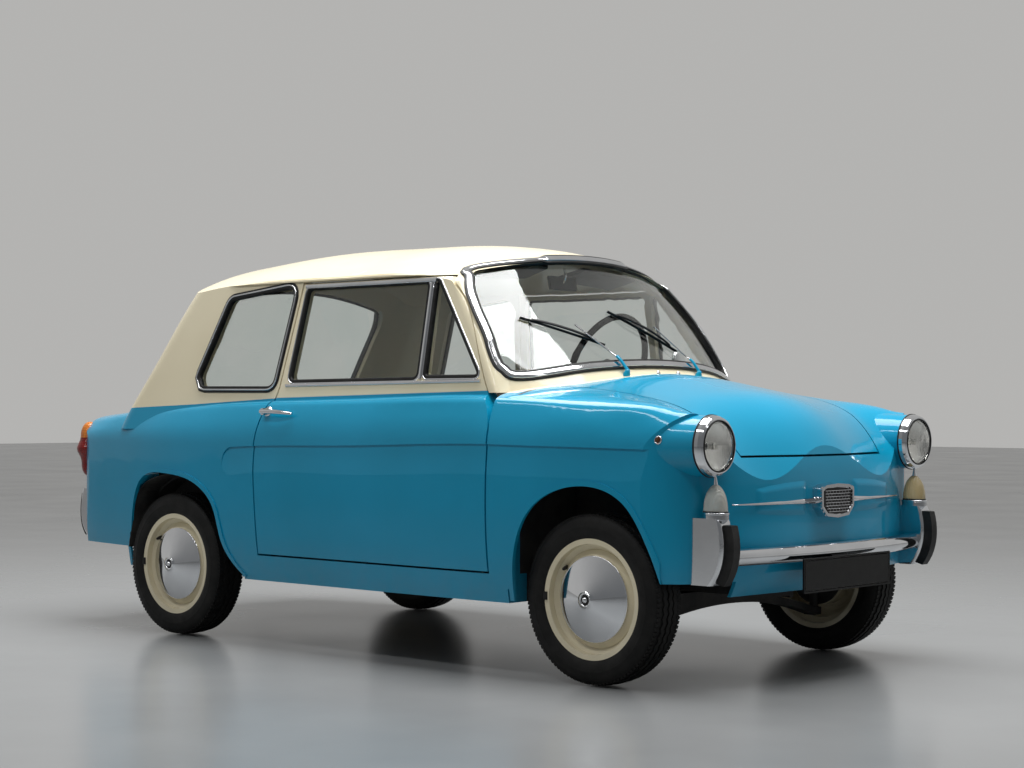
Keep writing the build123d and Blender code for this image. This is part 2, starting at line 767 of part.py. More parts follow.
# ---- boot, seats, dashboard --------------------------------------------
with BuildPart() as boot_tub:
    add(pieces["floor_pan"])
    slab((REAR_WALL_X - 25, -BODY_OUT, 0), (KICK_X, BODY_OUT, DOOR_SILL_Z - SHUT_GAP), Mode.SUBTRACT)
    slab((REAR_WALL_X - 2, -SILL_Y, KICK_Z), (KICK_X + SKIN, SILL_Y, KICK_Z + SKIN))
    slab((KICK_X, -SILL_Y, BODY_FLOOR), (KICK_X + SKIN, SILL_Y, KICK_Z + 2))
    for side in (-1, 1):
        with BuildSketch(Plane.XZ.offset(-side * 462)):
            with Locations((REAR_AXLE, TYRE_RADIUS)):
                Circle(TUB_RADIUS + 8)
        extrude(amount=-side * 78)
    for side in (-1, 1):
        with BuildSketch(Plane.XZ.offset(-side * 471)):
            with Locations((REAR_AXLE, TYRE_RADIUS)):
                Circle(TUB_RADIUS)
        extrude(amount=-side * 240, mode=Mode.SUBTRACT)
    slab((-1200, -BODY_OUT, -100), (KICK_X, BODY_OUT, TYRE_RADIUS + 40), Mode.SUBTRACT)
    slab((KICK_X, -BODY_OUT, -100), (REAR_AXLE + TUB_RADIUS + 20, BODY_OUT, BODY_FLOOR), Mode.SUBTRACT)
    slab((BULKHEAD_X + SKIN, -330, 400), (BOOT_END_X, 330, 412))
    for side in (-1, 1):
        inner, outer = sorted((side * 322, side * 334))
        slab((BULKHEAD_X + SKIN, inner, 256), (BOOT_END_X, outer, 630))
    with BuildSketch(Plane.XY.offset(BODY_FLOOR)):
        with Locations(*JACK_SOCKETS):
            Circle(JACK_RADIUS)
    extrude(amount=24, mode=Mode.SUBTRACT)
pieces["floor_pan"] = boot_tub.part

SEAT_BACK = [(-20, 405), (70, 440), (-10, 640), (-66, 850), (-92, 868), (-122, 856), (-118, 760), (-70, 560)]
with BuildPart() as seats:
    for side in (-1, 1):
        with BuildPart() as chair:
            slab((-20, side * 300 - 230, 330), (440, side * 300 + 230, 460))
            fillet(chair.edges().filter_by(Axis.X) + chair.edges().filter_by(Axis.Y), 28)
            slab((0, side * 300 - 200, 247), (400, side * 300 + 200, 345))
            with BuildSketch(Plane.XZ.offset(-side * 300 - 225)):
                with BuildLine():
                    Polyline(*SEAT_BACK, close=True)
                make_face()
            extrude(amount=450)
    with BuildPart() as bench:
        slab((-780, -440, KICK_Z + SKIN), (-460, 440, 505))
        fillet(bench.edges().filter_by(Axis.Y).sort_by(Axis.Z)[-2:], 26)
        with BuildSketch(Plane.XZ.offset(-430)):
            with BuildLine():
                Polyline((-780, 470), (-650, 485), (-760, 770), (-800, 792), (-850, 780), close=True)
            make_face()
        extrude(amount=860)
pieces["seats"] = seats.part

COLUMN = Plane(WHEEL_AT, x_dir=(0, 1, 0), z_dir=(-0.55, 0, 0.2))
with BuildPart() as dashboard:
    with BuildSketch(Plane.XZ.offset(-500)):
        with BuildLine():
            Line((BULKHEAD_X, 690), (664, 690))
            Spline((664, 690), (646, 720), (656, 792), (690, 812), tangents=[(-1, 0.2), (1, 0.1)])
            Line((690, 812), (BULKHEAD_X, 812))
            Line((BULKHEAD_X, 812), (BULKHEAD_X, 690))
        make_face()
    extrude(amount=1000)
    with BuildSketch(COLUMN.offset(-16)):
        Circle(24)
    extrude(amount=-290)
    with BuildSketch(Plane((620, 300, 822), x_dir=(0, 1, 0), z_dir=(1, 0, -0.2))):
        Ellipse(92, 42)
    extrude(amount=90)
    add(pieces["fender_right"], mode=Mode.SUBTRACT)
    add(pieces["fender_left"], mode=Mode.SUBTRACT)
    add(pieces["greenhouse"], mode=Mode.SUBTRACT)
    add(pieces["floor_pan"], mode=Mode.SUBTRACT)
pieces["dashboard"] = dashboard.part

with BuildPart() as steering_wheel:
    with BuildSketch(COLUMN):
        Circle(34)
        Rectangle(370, 22)
    extrude(amount=12)
    with BuildSketch(COLUMN.offset(10)):
        Circle(26)
    extrude(amount=16, taper=20)
    with BuildSketch(COLUMN):
        Circle(20)
    extrude(amount=-15.5)
    with BuildLine(COLUMN) as rim_line:
        CenterArc((0, 0), 188, 0, 360)
    with BuildSketch(Plane(rim_line.line @ 0, z_dir=rim_line.line % 0)):
        Circle(11)
    sweep(path=rim_line.line)
pieces["steering_wheel"] = steering_wheel.part


# ---- lamps, bumpers, trim ----------------------------------------------
def lamp_turn(points):
    """A round lamp part on the right headlamp's axis: (forward, radius) points."""
    with BuildPart() as part:
        with BuildSketch(Plane((LAMP_X, -LAMP_Y, LAMP_Z), x_dir=(1, 0, 0), z_dir=(0, -1, 0))):
            with BuildLine():
                Polyline(*points, close=True)
            make_face()
        revolve(axis=Axis((LAMP_X, -LAMP_Y, LAMP_Z), (1, 0, 0)))
    return part.part


def rod(start, end, radius, end_radius=None):
    """A round or tapered rod between two points, added to the part in hand."""
    along = Vector(*end) - Vector(*start)
    place = Plane(Vector(*start), z_dir=along)
    if end_radius is None:
        add(Solid.make_cylinder(radius, along.length, place))
    else:
        add(Solid.make_cone(radius, end_radius, along.length, place))


def round_bar(stations):
    """A round bar through circles that stand square to Y: (x, y, z, radius)."""
    with BuildPart() as bar:
        for x, y, z, radius in stations:
            with BuildSketch(Plane.XZ.offset(-y)):
                with Locations((x, z)):
                    Circle(radius)
        loft()
    return bar.part


lower_cutter = trimmed_lower_body(0)
RING = [(0.5, 78), (0.5, 84.5), (3, 85), (14, 83), (23, 79), (27, 74), (26, 70), (20, 68.5), (14, 68.5),
        (14, 60), (8, 60), (8, 78)]
LENS = [(14.5, 0), (14.5, 68), (21, 67.5), (27, 62), (32, 50), (36, 30), (37.5, 0)]
with BuildPart() as headlamp_ring:
    add(lamp_turn(RING))
    rod((LAMP_X + 11, -517, 566), (LAMP_X + 11, -519, 595), 7, 3)
pieces["headlamp_shells"] = whole(headlamp_ring.part)
pieces["headlamp_lenses"] = whole(lamp_turn(LENS))

# A front turn lamp's bell: height, then its half length and half width.
BELL_AT = (1405, -517)
BELL = [(490, 37, 27), (512, 36, 26.5), (538, 31, 23), (558, 21, 16), (570, 8, 6)]
with BuildPart() as turn_lamp:
    for height, long, wide in BELL:
        with BuildSketch(Plane.XY.offset(height)):
            with Locations(BELL_AT):
                Ellipse(long, wide)
    loft()
    add(lower_cutter, mode=Mode.SUBTRACT)
    add(headlamp_ring.part, mode=Mode.SUBTRACT)
pieces["front_turn_lamps"] = whole(turn_lamp.part)

TAIL_LAMP = [(0, 524), (14, 527), (27, 548), (33, 590), (47, 625), (36, 655), (31, 690), (15, 717), (0, 722)]
TAIL_LAMP_AT = (-1405, -530, 0)
with BuildPart() as tail_lamp:
    with BuildSketch(Plane(TAIL_LAMP_AT, x_dir=(1, 0, 0), z_dir=(0, -1, 0))):
        with BuildLine():
            Spline(*TAIL_LAMP)
            Line(TAIL_LAMP[-1], TAIL_LAMP[0])
        make_face()
    revolve(axis=Axis(TAIL_LAMP_AT, (0, 0, 1)))
    add(lower_cutter, mode=Mode.SUBTRACT)
pieces["tail_lamps"] = whole(tail_lamp.part)


def bumper_half(middle, outward, centre, reach):
    """The right half of a bowed bumper bar: a rounded section turned about its bow's centre."""
    swing = asin(reach / abs(middle - centre))
    with BuildPart() as bar:
        with BuildSketch(Plane.XZ):
            with BuildLine():
                back = middle - outward * BAR_DEPTH
                ThreePointArc((back, BAR_TOP), (middle, (BAR_TOP + BAR_LOW) / 2), (back, BAR_LOW))
                Line((back, BAR_LOW), (back, BAR_TOP))
            make_face()
        revolve(axis=Axis((centre, 0, 0), (0, 0, -outward)), revolution_arc=degrees(swing))
    return bar.part


def overrider(points, front, y, half):
    """An upright plated bumper horn: (x, z) back points, then the bowed front."""
    with BuildPart() as horn:
        with BuildSketch(Plane.XZ.offset(half - y)):
            with BuildLine():
                Polyline(front[-1], *points, front[0])
                Spline(*front)
            make_face()
        extrude(amount=-2 * half)
        fillet(horn.edges().filter_by(GeomType.BSPLINE), 10)
    return horn.part


HORN_BACK = [(1412, 298), (1300, 298), (1345, 480), (1430, 480)]
HORN_FRONT = [(1441, 466), (1450, 400), (1440, 345), (1416, 302)]
REAR_HORN_BACK = [(-1444, 306), (-1385, 306), (-1385, 478), (-1462, 478)]
REAR_HORN_FRONT = [(-1474, 462), (-1483, 400), (-1474, 345), (-1450, 310)]

with BuildPart() as front_bumper:
    add(overrider(HORN_BACK, HORN_FRONT, -OVERRIDER_Y, 28))
    with BuildSketch(Plane.XY.offset(478)):
        with Locations(BELL_AT):
            Ellipse(40, 30)
    extrude(amount=12)
    add(bumper_half(FRONT_BAR_X, 1, FRONT_BAR_X - BUMPER_BOW, OVERRIDER_Y - 20))
    add(lower_cutter, mode=Mode.SUBTRACT)
with BuildPart() as rear_bumper:
    add(overrider(REAR_HORN_BACK, REAR_HORN_FRONT, -REAR_OVERRIDER_Y, 26))
    add(bumper_half(REAR_BAR_X, -1, REAR_BAR_X + BUMPER_BOW, REAR_OVERRIDER_Y - 14))
    add(lower_cutter, mode=Mode.SUBTRACT)
pieces["front_bumper"] = whole(front_bumper.part)
pieces["rear_bumper"] = whole(rear_bumper.part)

with BuildPart() as buffers:
    for front, push, y in ((HORN_FRONT, 26, 4 - OVERRIDER_Y), (REAR_HORN_FRONT, -13, -REAR_OVERRIDER_Y)):
        top_x, top_z = front[0]
        low_x, low_z = front[-1]
        with BuildSketch(Plane.XZ.offset(15 - y)):
            with BuildLine():
                Spline(*[(x + push, z - 4) for x, z in front])
                Polyline((low_x + push, low_z - 4), (low_x - push / 2, low_z + 6),
                         (top_x - push / 2, top_z - 2), (top_x + push, top_z - 4))
            make_face()
        extrude(amount=-30)
    add(front_bumper.part, mode=Mode.SUBTRACT)
    add(rear_bumper.part, mode=Mode.SUBTRACT)
pieces["bumper_buffers"] = whole(buffers.part)

WHISKER = [(1433, 70, 514, 9), (1430, 150, 513.5, 7), (1427, 236, 513, 4.5)]
SHIELD = [(-88, 551), (-60, 562), (0, 566), (60, 562), (88, 551), (87, 494), (58, 466), (0, 460), (-58, 466),
          (-87, 494)]
with BuildPart() as badge:
    with BuildSketch(Plane.YZ.offset(1420)):
        with BuildLine():
            FilletPolyline(*SHIELD, radius=9, close=True)
        make_face()
    extrude(amount=42, taper=5)
    with BuildSketch(Plane.YZ.offset(1462)):
        with BuildLine():
            FilletPolyline(*SHIELD, radius=9, close=True)
        make_face()
        offset(amount=-12)
    extrude(amount=-7, mode=Mode.SUBTRACT)
    with BuildSketch(Plane.YZ.offset(1454)) as slats:
        with Locations((0, 512)):
            with GridLocations(0, 10, 1, 9):
                Rectangle(180, 4)
        with BuildLine():
            FilletPolyline(*SHIELD, radius=9, close=True)
        make_face(mode=Mode.INTERSECT)
    extrude(amount=5)
    for side in (-1, 1):
        add(round_bar([(x, side * y, z, radius) for x, y, z, radius in WHISKER]))
    add(lower_cutter, mode=Mode.SUBTRACT)
pieces["nose_badge"] = badge.part

with BuildPart() as plate:
    slab((1490, -225, 261), (1496, 225, 358))
    slab((1462, -40, 320), (1491, 40, 350))
    slab((1400, -20, 270), (1491, 20, 284))
    add(lower_cutter, mode=Mode.SUBTRACT)
    add(pieces["front_bumper"], mode=Mode.SUBTRACT)
pieces["number_plate"] = plate.part

with BuildPart() as wipers:
    for pivot, bend, joint, low, tip in WIPER_ARMS:
        rod((pivot[0], pivot[1], pivot[2] - 14), (pivot[0] + 4, pivot[1], pivot[2] + 8), 9)
        rod((pivot[0] + 2, pivot[1], pivot[2] + 2), bend, 6, 4)
        rod(bend, joint, 4, 3)
        add(round_bar([(*low, 3.5), (*joint, 5), (*tip, 3.5)]))
    add(cabin_body(0, 0), mode=Mode.SUBTRACT)
    add(lower_cutter, mode=Mode.SUBTRACT)
pieces["wipers"] = wipers.part

HANDLE_LEVER = [(-295, -668, 763, 7.5), (-220, -670, 762, 7), (-152, -661, 756, 4)]
with BuildPart() as handle:
    rod((-284, -630, 763), (-284, -672, 763), 11)
    for x, y, z, radius in HANDLE_LEVER:
        with BuildSketch(Plane.YZ.offset(x)):
            with Locations((y, z)):
                Circle(radius)
    loft()
    add(pieces["door_right"], mode=Mode.SUBTRACT)
pieces["door_handle_right"] = handle.part
pieces["door_handle_left"] = left_of(handle.part)

for side, sign in (("right", -1), ("left", 1)):
    pieces["knuckle_" + side] = knuckle(sign)
    for end, x, track in (("front", FRONT_AXLE, HALF_TRACK_FRONT), ("rear", REAR_AXLE, HALF_TRACK_REAR)):
        place = end + "_" + side
        pieces["tyre_" + place] = tyre(x, sign * track, sign)
        pieces["rim_" + place] = rim(x, sign * track, sign)
        pieces["hubcap_" + place] = hubcap(x, sign * track, sign)

# ---- write every piece --------------------------------------------------
SOLIDS = {"fixed_glass": 4, "door_glass_right": 2, "door_glass_left": 2, "headlamp_shells": 2,
          "headlamp_lenses": 2, "front_turn_lamps": 2, "tail_lamps": 2, "bumper_buffers": 4,
          "wipers": 2, "seats": 3, "rear_suspension": 2, "front_suspension": 3}
# Large panels whose edges are written as curves in space alone, to keep their files small.
LARGE_PANELS = ("greenhouse", "fender_right", "fender_left", "engine_lid", "nose_panel", "bonnet",
                "tail_panel")
os.makedirs("parts", exist_ok=True)
for name, part in pieces.items():
    part = biggest(part, SOLIDS.get(name, 1))
    part.label = name
    export_step(part, "parts/" + name + ".step", write_pcurves=name not in LARGE_PANELS)
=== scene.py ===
# %% [markdown]
# # A small two-tone saloon car, dressed in Blender
#
# The CAD model already holds the real sizes: body panels, doors, wheels, seats.
# Blender adds what CAD is poor at: paint, rubber, glass and the small trims that
# catch the light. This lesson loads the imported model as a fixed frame, paints it,
# and then adds the gaskets, bright strips, tyre tread and other small pieces.

# %% Load the frame
import math
import bmesh
import bpy
from mathutils import Matrix, Vector
from mathutils.bvhtree import BVHTree


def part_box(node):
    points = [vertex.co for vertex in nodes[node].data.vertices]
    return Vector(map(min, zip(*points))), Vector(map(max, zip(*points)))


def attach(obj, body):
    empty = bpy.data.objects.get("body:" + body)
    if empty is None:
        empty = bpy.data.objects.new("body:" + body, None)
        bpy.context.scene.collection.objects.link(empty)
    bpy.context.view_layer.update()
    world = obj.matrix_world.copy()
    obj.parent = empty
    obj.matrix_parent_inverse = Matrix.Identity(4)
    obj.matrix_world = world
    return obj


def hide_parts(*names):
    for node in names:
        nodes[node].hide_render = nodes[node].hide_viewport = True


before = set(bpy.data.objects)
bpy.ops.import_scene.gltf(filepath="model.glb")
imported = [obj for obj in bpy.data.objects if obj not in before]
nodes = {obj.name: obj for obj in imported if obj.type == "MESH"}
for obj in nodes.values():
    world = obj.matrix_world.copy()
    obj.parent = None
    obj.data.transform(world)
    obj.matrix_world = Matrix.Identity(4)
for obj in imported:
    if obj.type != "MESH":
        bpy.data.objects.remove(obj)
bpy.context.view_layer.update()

print("nodes:", len(nodes))

# %% [markdown]
# ## The camera
#
# The car is seen from the front right, from about chest height. A camera looks
# along its own -Z axis, so its matrix is built from three directions: right, up
# and back. A long lens keeps the wheels round and the sides nearly parallel.

# %% Camera
camera_data = bpy.data.cameras.new("camera")
camera_data.lens = 69.48
camera_data.sensor_width = 36
camera = bpy.data.objects.new("camera", camera_data)
bpy.context.scene.collection.objects.link(camera)


def look(azimuth, elevation, roll, place):
    """Matrix of a camera that looks in from an azimuth and elevation, in degrees."""
    a, e = math.radians(azimuth), math.radians(elevation)
    back = Vector((math.sin(a) * math.cos(e), -math.cos(a) * math.cos(e), math.sin(e)))
    right = Vector((math.cos(a), math.sin(a), 0))
    turn = Matrix((right, back.cross(right), back)).transposed().to_4x4()
    return Matrix.Translation(place) @ turn @ Matrix.Rotation(math.radians(roll), 4, "Z")


camera.matrix_world = look(42.10, -0.65, 0.14, (4.5824, -4.8566, 0.7813))
bpy.context.scene.camera = camera
print("camera at", [round(v, 2) for v in camera.matrix_world.translation])

# %% [markdown]
# ## Floor, walls and light
#
# Gloss paint and chrome are only as good as what they reflect, so the car stands
# in a plain pale room. Long strip lamps overhead draw the soft white bands that
# show the curve of a wing, and the floor stays pale for a plain background.

# %% Studio room
def node_material(name):
    """A new material with an empty node tree, its shader and its output."""
    material = bpy.data.materials.new(name)
    material.use_nodes = True
    tree = material.node_tree
    tree.nodes.clear()
    output = tree.nodes.new("ShaderNodeOutputMaterial")
    shader = tree.nodes.new("ShaderNodeBsdfPrincipled")
    tree.links.new(shader.outputs[0], output.inputs[0])
    return material, tree, shader


def linked(name, data):
    """A new object for a mesh, lamp or camera, linked into the scene."""
    obj = bpy.data.objects.new(name, data)
    bpy.context.scene.collection.objects.link(obj)
    return obj


def plain_mesh(name, corners, faces, material=None):
    """An object from lists of corners and faces."""
    mesh = bpy.data.meshes.new(name)
    mesh.from_pydata([tuple(c) for c in corners], [], faces)
    mesh.update()
    if material:
        mesh.materials.append(material)
    return linked(name, mesh)


def soft_shaded(mesh):
    """Turns on smooth shading for every face."""
    for face in mesh.polygons:
        face.use_smooth = True


def closed_form(name, bm, material):
    """A smooth object from a bmesh, with its faces turned outwards and one material."""
    bmesh.ops.recalc_face_normals(bm, faces=bm.faces)
    mesh = bpy.data.meshes.new(name)
    bm.to_mesh(mesh)
    bm.free()
    mesh.materials.append(material)
    soft_shaded(mesh)
    return linked(name, mesh)


SIDES = (("right", -1), ("left", 1))


def studio():
    """A pale painted floor with a soft sheen, and an even grey surround."""
    floor_material, tree, shader = node_material("floor_paint")
    noise = tree.nodes.new("ShaderNodeTexNoise")
    noise.inputs["Scale"].default_value = 1.3
    noise.inputs["Detail"].default_value = 6
    ramp = tree.nodes.new("ShaderNodeValToRGB")
    ramp.color_ramp.elements[0].color = (0.215, 0.224, 0.228, 1)
    ramp.color_ramp.elements[1].color = (0.275, 0.282, 0.284, 1)
    gloss = tree.nodes.new("ShaderNodeMapRange")
    gloss.inputs["To Min"].default_value = 0.16
    gloss.inputs["To Max"].default_value = 0.30
    coordinates = tree.nodes.new("ShaderNodeTexCoord")
    tree.links.new(coordinates.outputs["Object"], noise.inputs["Vector"])
    tree.links.new(noise.outputs["Fac"], ramp.inputs["Fac"])
    tree.links.new(noise.outputs["Fac"], gloss.inputs["Value"])
    tree.links.new(ramp.outputs["Color"], shader.inputs["Base Color"])
    tree.links.new(gloss.outputs["Result"], shader.inputs["Roughness"])
    floor = plain_mesh("floor", [(-30, -30, 0), (30, -30, 0), (30, 30, 0), (-30, 30, 0)],
                       [(0, 1, 2, 3)], floor_material)
    world = bpy.data.worlds.new("room_light")
    world.use_nodes = True
    bpy.context.scene.world = world
    tree = world.node_tree
    way = tree.nodes.new("ShaderNodeTexCoord").outputs["Generated"]
    facing = tree.nodes.new("ShaderNodeVectorMath")
    facing.operation = "DOT_PRODUCT"
    facing.inputs[1].default_value = (-0.67, 0.74, 0.0)
    ramp = tree.nodes.new("ShaderNodeValToRGB")
    ramp.color_ramp.elements[0].position = 0.12
    ramp.color_ramp.elements[1].position = 0.62
    ramp.color_ramp.elements[0].color = (0.15, 0.155, 0.16, 1)
    ramp.color_ramp.elements[1].color = (0.455, 0.452, 0.442, 1)
    spread = tree.nodes.new("ShaderNodeMapRange")
    spread.inputs["From Min"].default_value = -1.0
    tree.links.new(way, facing.inputs[0])
    tree.links.new(facing.outputs["Value"], spread.inputs["Value"])
    tree.links.new(spread.outputs["Result"], ramp.inputs["Fac"])
    tree.links.new(ramp.outputs["Color"], tree.nodes["Background"].inputs["Color"])
    return floor


def strip_lamp(name, place, aim, size, power):
    """A long soft lamp that looks at a point."""
    lamp = bpy.data.lights.new(name, "AREA")
    lamp.shape = "RECTANGLE"
    lamp.size, lamp.size_y = size
    lamp.energy = power
    obj = linked(name, lamp)
    obj.location = place
    obj.rotation_euler = (Vector(place) - Vector(aim)).to_track_quat("Z", "Y").to_euler()
    return obj


floor = studio()
strip_lamp("ceiling_middle", (0.2, 0.2, 4.6), (0.2, 0.2, 0), (5.5, 2.4), 370)
strip_lamp("ceiling_right", (0.2, -3.0, 4.2), (0.2, -1.0, 0.4), (5.5, 0.30), 60)
strip_lamp("ceiling_front", (4.4, -0.2, 4.4), (1.5, 0, 0.3), (0.35, 4.0), 9)
bpy.context.scene.view_settings.view_transform = "Standard"

# %% [markdown]
# ## Paint
#
# Old gloss enamel is not one colour. It varies a little from panel to panel, it
# has a faint ripple called orange peel, and road dust dulls it near the sills.
# Each paint is therefore two near tones mixed by a slow noise, a dust layer that
# grows towards the ground, and a clear coat on top that keeps the mirror shine.

# %% Paint helpers
def add_node(tree, kind, links=None, **values):
    """A node with its inputs set by name; links is {input name: output socket}."""
    node = tree.nodes.new(kind)
    for key, value in values.items():
        if hasattr(node, key):
            setattr(node, key, value)
        else:
            node.inputs[key.replace("_", " ").title()].default_value = value
    for key, socket in (links or {}).items():
        tree.links.new(socket, node.inputs[key])
    return node


def object_xyz(tree):
    """The Object coordinates and their three parts."""
    coordinates = tree.nodes.new("ShaderNodeTexCoord").outputs["Object"]
    parts = add_node(tree, "ShaderNodeSeparateXYZ", {"Vector": coordinates})
    return coordinates, parts.outputs["X"], parts.outputs["Y"], parts.outputs["Z"]


def blend(tree, factor, first, second):
    """Mixes two colours, each a tuple or a socket, by a factor socket."""
    mix = tree.nodes.new("ShaderNodeMix")
    mix.data_type = "RGBA"
    tree.links.new(factor, mix.inputs[0])
    for slot, colour in ((6, first), (7, second)):
        if isinstance(colour, tuple):
            mix.inputs[slot].default_value = colour
        else:
            tree.links.new(colour, mix.inputs[slot])
    return mix.outputs[2]


def above(tree, value, limit, soft=0.001):
    """0 below a limit and 1 above it, with a soft edge."""
    ramp = add_node(tree, "ShaderNodeMapRange", {"Value": value})
    ramp.inputs["From Min"].default_value = limit - soft
    ramp.inputs["From Max"].default_value = limit + soft
    return ramp.outputs["Result"]


def maths(tree, operation, first, second=0.0):
    """One sum of two values, each a number or a socket."""
    node = tree.nodes.new("ShaderNodeMath")
    node.operation = operation
    for slot, value in ((0, first), (1, second)):
        if isinstance(value, (int, float)):
            node.inputs[slot].default_value = value
        else:
            tree.links.new(value, node.inputs[slot])
    return node.outputs[0]


def noise(tree, vector, scale, detail=2.0, rough=0.5):
    """The grey value of a noise texture."""
    node = add_node(tree, "ShaderNodeTexNoise", {"Vector": vector}, Scale=scale, Detail=detail, Roughness=rough)
    return node.outputs["Fac"]


def tones(tree, factor, dark, light, low=0.35, high=0.65):
    """A colour that runs from a dark to a light tone as a grey value rises."""
    ramp = tree.nodes.new("ShaderNodeValToRGB")
    ramp.color_ramp.elements[0].position = low
    ramp.color_ramp.elements[1].position = high
    ramp.color_ramp.elements[0].color = dark
    ramp.color_ramp.elements[1].color = light
    tree.links.new(factor, ramp.inputs["Fac"])
    return ramp.outputs["Color"]


def bump(tree, shader, height, strength, distance):
    """Turns a grey value into small relief on a shader."""
    node = add_node(tree, "ShaderNodeBump", {"Height": height}, Strength=strength, Distance=distance)
    tree.links.new(node.outputs["Normal"], shader.inputs["Normal"])


def level(tree, factor, low, high):
    """A grey value spread between two numbers."""
    ramp = add_node(tree, "ShaderNodeMapRange", {"Value": factor})
    ramp.inputs["To Min"].default_value = low
    ramp.inputs["To Max"].default_value = high
    return ramp.outputs["Result"]


# %% Gloss enamel
BLUE = ((0.004, 0.266, 0.440, 1), (0.007, 0.297, 0.498, 1))
CREAM = ((0.75, 0.67, 0.475, 1), (0.82, 0.74, 0.54, 1))
DUST = (0.20, 0.19, 0.17, 1)


def enamel(name, colours, second=None, split=None):
    """Gloss paint; with a second pair of tones above a sloping line (slope, height)."""
    material, tree, shader = node_material(name)
    xyz, x, y, z = object_xyz(tree)
    slow = noise(tree, xyz, 2.2, 3)
    colour = tones(tree, slow, *colours)
    if second:
        line = maths(tree, "SUBTRACT", z, maths(tree, "MULTIPLY", x, split[0]))
        colour = blend(tree, above(tree, line, split[1]), colour, tones(tree, slow, *second))
    low = maths(tree, "SUBTRACT", 1.0, above(tree, z, 0.27, 0.10))
    dust = maths(tree, "MULTIPLY", low, level(tree, noise(tree, xyz, 14, 5, 0.65), 0.0, 0.35))
    tree.links.new(blend(tree, dust, colour, DUST), shader.inputs["Base Color"])
    tree.links.new(level(tree, noise(tree, xyz, 7, 4), 0.20, 0.30), shader.inputs["Roughness"])
    shader.inputs["Specular IOR Level"].default_value = 0.05
    shader.inputs["Coat Weight"].default_value = 0.60
    shader.inputs["Coat Roughness"].default_value = 0.03
    bump(tree, shader, noise(tree, xyz, 260, 2), 0.05, 0.0004)
    return material


finish = {
    "body_blue": enamel("body_blue", BLUE),
    "roof_cream": enamel("roof_cream", CREAM),
    "door_two_tone": enamel("door_two_tone", BLUE, CREAM, (0.022, 0.8135)),
}
print("paints:", [m.name for m in finish.values()])

# %% [markdown]
# ## Chrome, rubber, glass and the rest
#
# Plated steel is a bright metal with a very low roughness, and faint polishing
# marks that only show at the edge of a highlight. Rubber and tyres are nearly
# black, and it is their roughness that tells them apart. Window glass is clear,
# with a slight green tint, and lamp glass has flutes pressed into it.

# %% Chrome and bare metals
def plated(name):
    """Polished plating with slow tone changes and a few dull spots."""
    material, tree, shader = node_material(name)
    xyz, x, y, z = object_xyz(tree)
    shader.inputs["Metallic"].default_value = 1.0
    tree.links.new(tones(tree, noise(tree, xyz, 6, 3), (0.66, 0.67, 0.69, 1), (0.76, 0.77, 0.79, 1)),
                   shader.inputs["Base Color"])
    tree.links.new(level(tree, noise(tree, xyz, 35, 4, 0.6), 0.03, 0.09), shader.inputs["Roughness"])
    bump(tree, shader, noise(tree, xyz, 180, 2), 0.02, 0.0002)
    return material


def dark_metal(name):
    """Undersealed steel: black, grainy, with pale road dust."""
    material, tree, shader = node_material(name)
    xyz, x, y, z = object_xyz(tree)
    grain = noise(tree, xyz, 60, 6, 0.7)
    tree.links.new(tones(tree, noise(tree, xyz, 8, 5, 0.6), (0.010, 0.010, 0.011, 1), (0.045, 0.042, 0.038, 1)),
                   shader.inputs["Base Color"])
    tree.links.new(level(tree, grain, 0.55, 0.85), shader.inputs["Roughness"])
    bump(tree, shader, grain, 0.35, 0.002)
    return material


# %% Rubber and tyre
def rubber(name, dark, light, rough, grain=220):
    """Moulded rubber: a dark tone with dusty patches and a fine grain."""
    material, tree, shader = node_material(name)
    xyz, x, y, z = object_xyz(tree)
    tree.links.new(tones(tree, noise(tree, xyz, 18, 6, 0.65), dark, light), shader.inputs["Base Color"])
    tree.links.new(level(tree, noise(tree, xyz, 45, 4), rough - 0.08, rough + 0.12), shader.inputs["Roughness"])
    bump(tree, shader, noise(tree, xyz, grain, 3), 0.12, 0.0006)
    shader.inputs["Specular IOR Level"].default_value = 0.25
    return material


# %% Glass
def window_glass(name):
    """Clear pane with a slight green tint and a few faint smears."""
    material, tree, shader = node_material(name)
    xyz, x, y, z = object_xyz(tree)
    shader.inputs["Transmission Weight"].default_value = 1.0
    shader.inputs["IOR"].default_value = 1.45
    tree.links.new(tones(tree, noise(tree, xyz, 5, 4), (0.90, 0.945, 0.925, 1), (0.95, 0.975, 0.96, 1)),
                   shader.inputs["Base Color"])
    tree.links.new(level(tree, noise(tree, xyz, 9, 6, 0.7), 0.0, 0.03), shader.inputs["Roughness"])
    return material


def lamp_lens(name, tint, pitch=0.0, across="Y", through=0.92, rough=(0.02, 0.09)):
    """Pressed lens glass, with flutes at a pitch in metres."""
    material, tree, shader = node_material(name)
    xyz, x, y, z = object_xyz(tree)
    shader.inputs["Transmission Weight"].default_value = through
    shader.inputs["IOR"].default_value = 1.47
    light = tuple(min(1, c * 1.05) for c in tint[:3]) + (1,)
    tree.links.new(tones(tree, noise(tree, xyz, 40, 3), tint, light), shader.inputs["Base Color"])
    tree.links.new(level(tree, noise(tree, xyz, 60, 4), *rough), shader.inputs["Roughness"])
    if pitch:
        along = {"X": x, "Y": y, "Z": z}[across]
        wave = maths(tree, "SINE", maths(tree, "MULTIPLY", along, 2 * math.pi / pitch))
        bump(tree, shader, wave, 0.5, 0.0012)
    return material


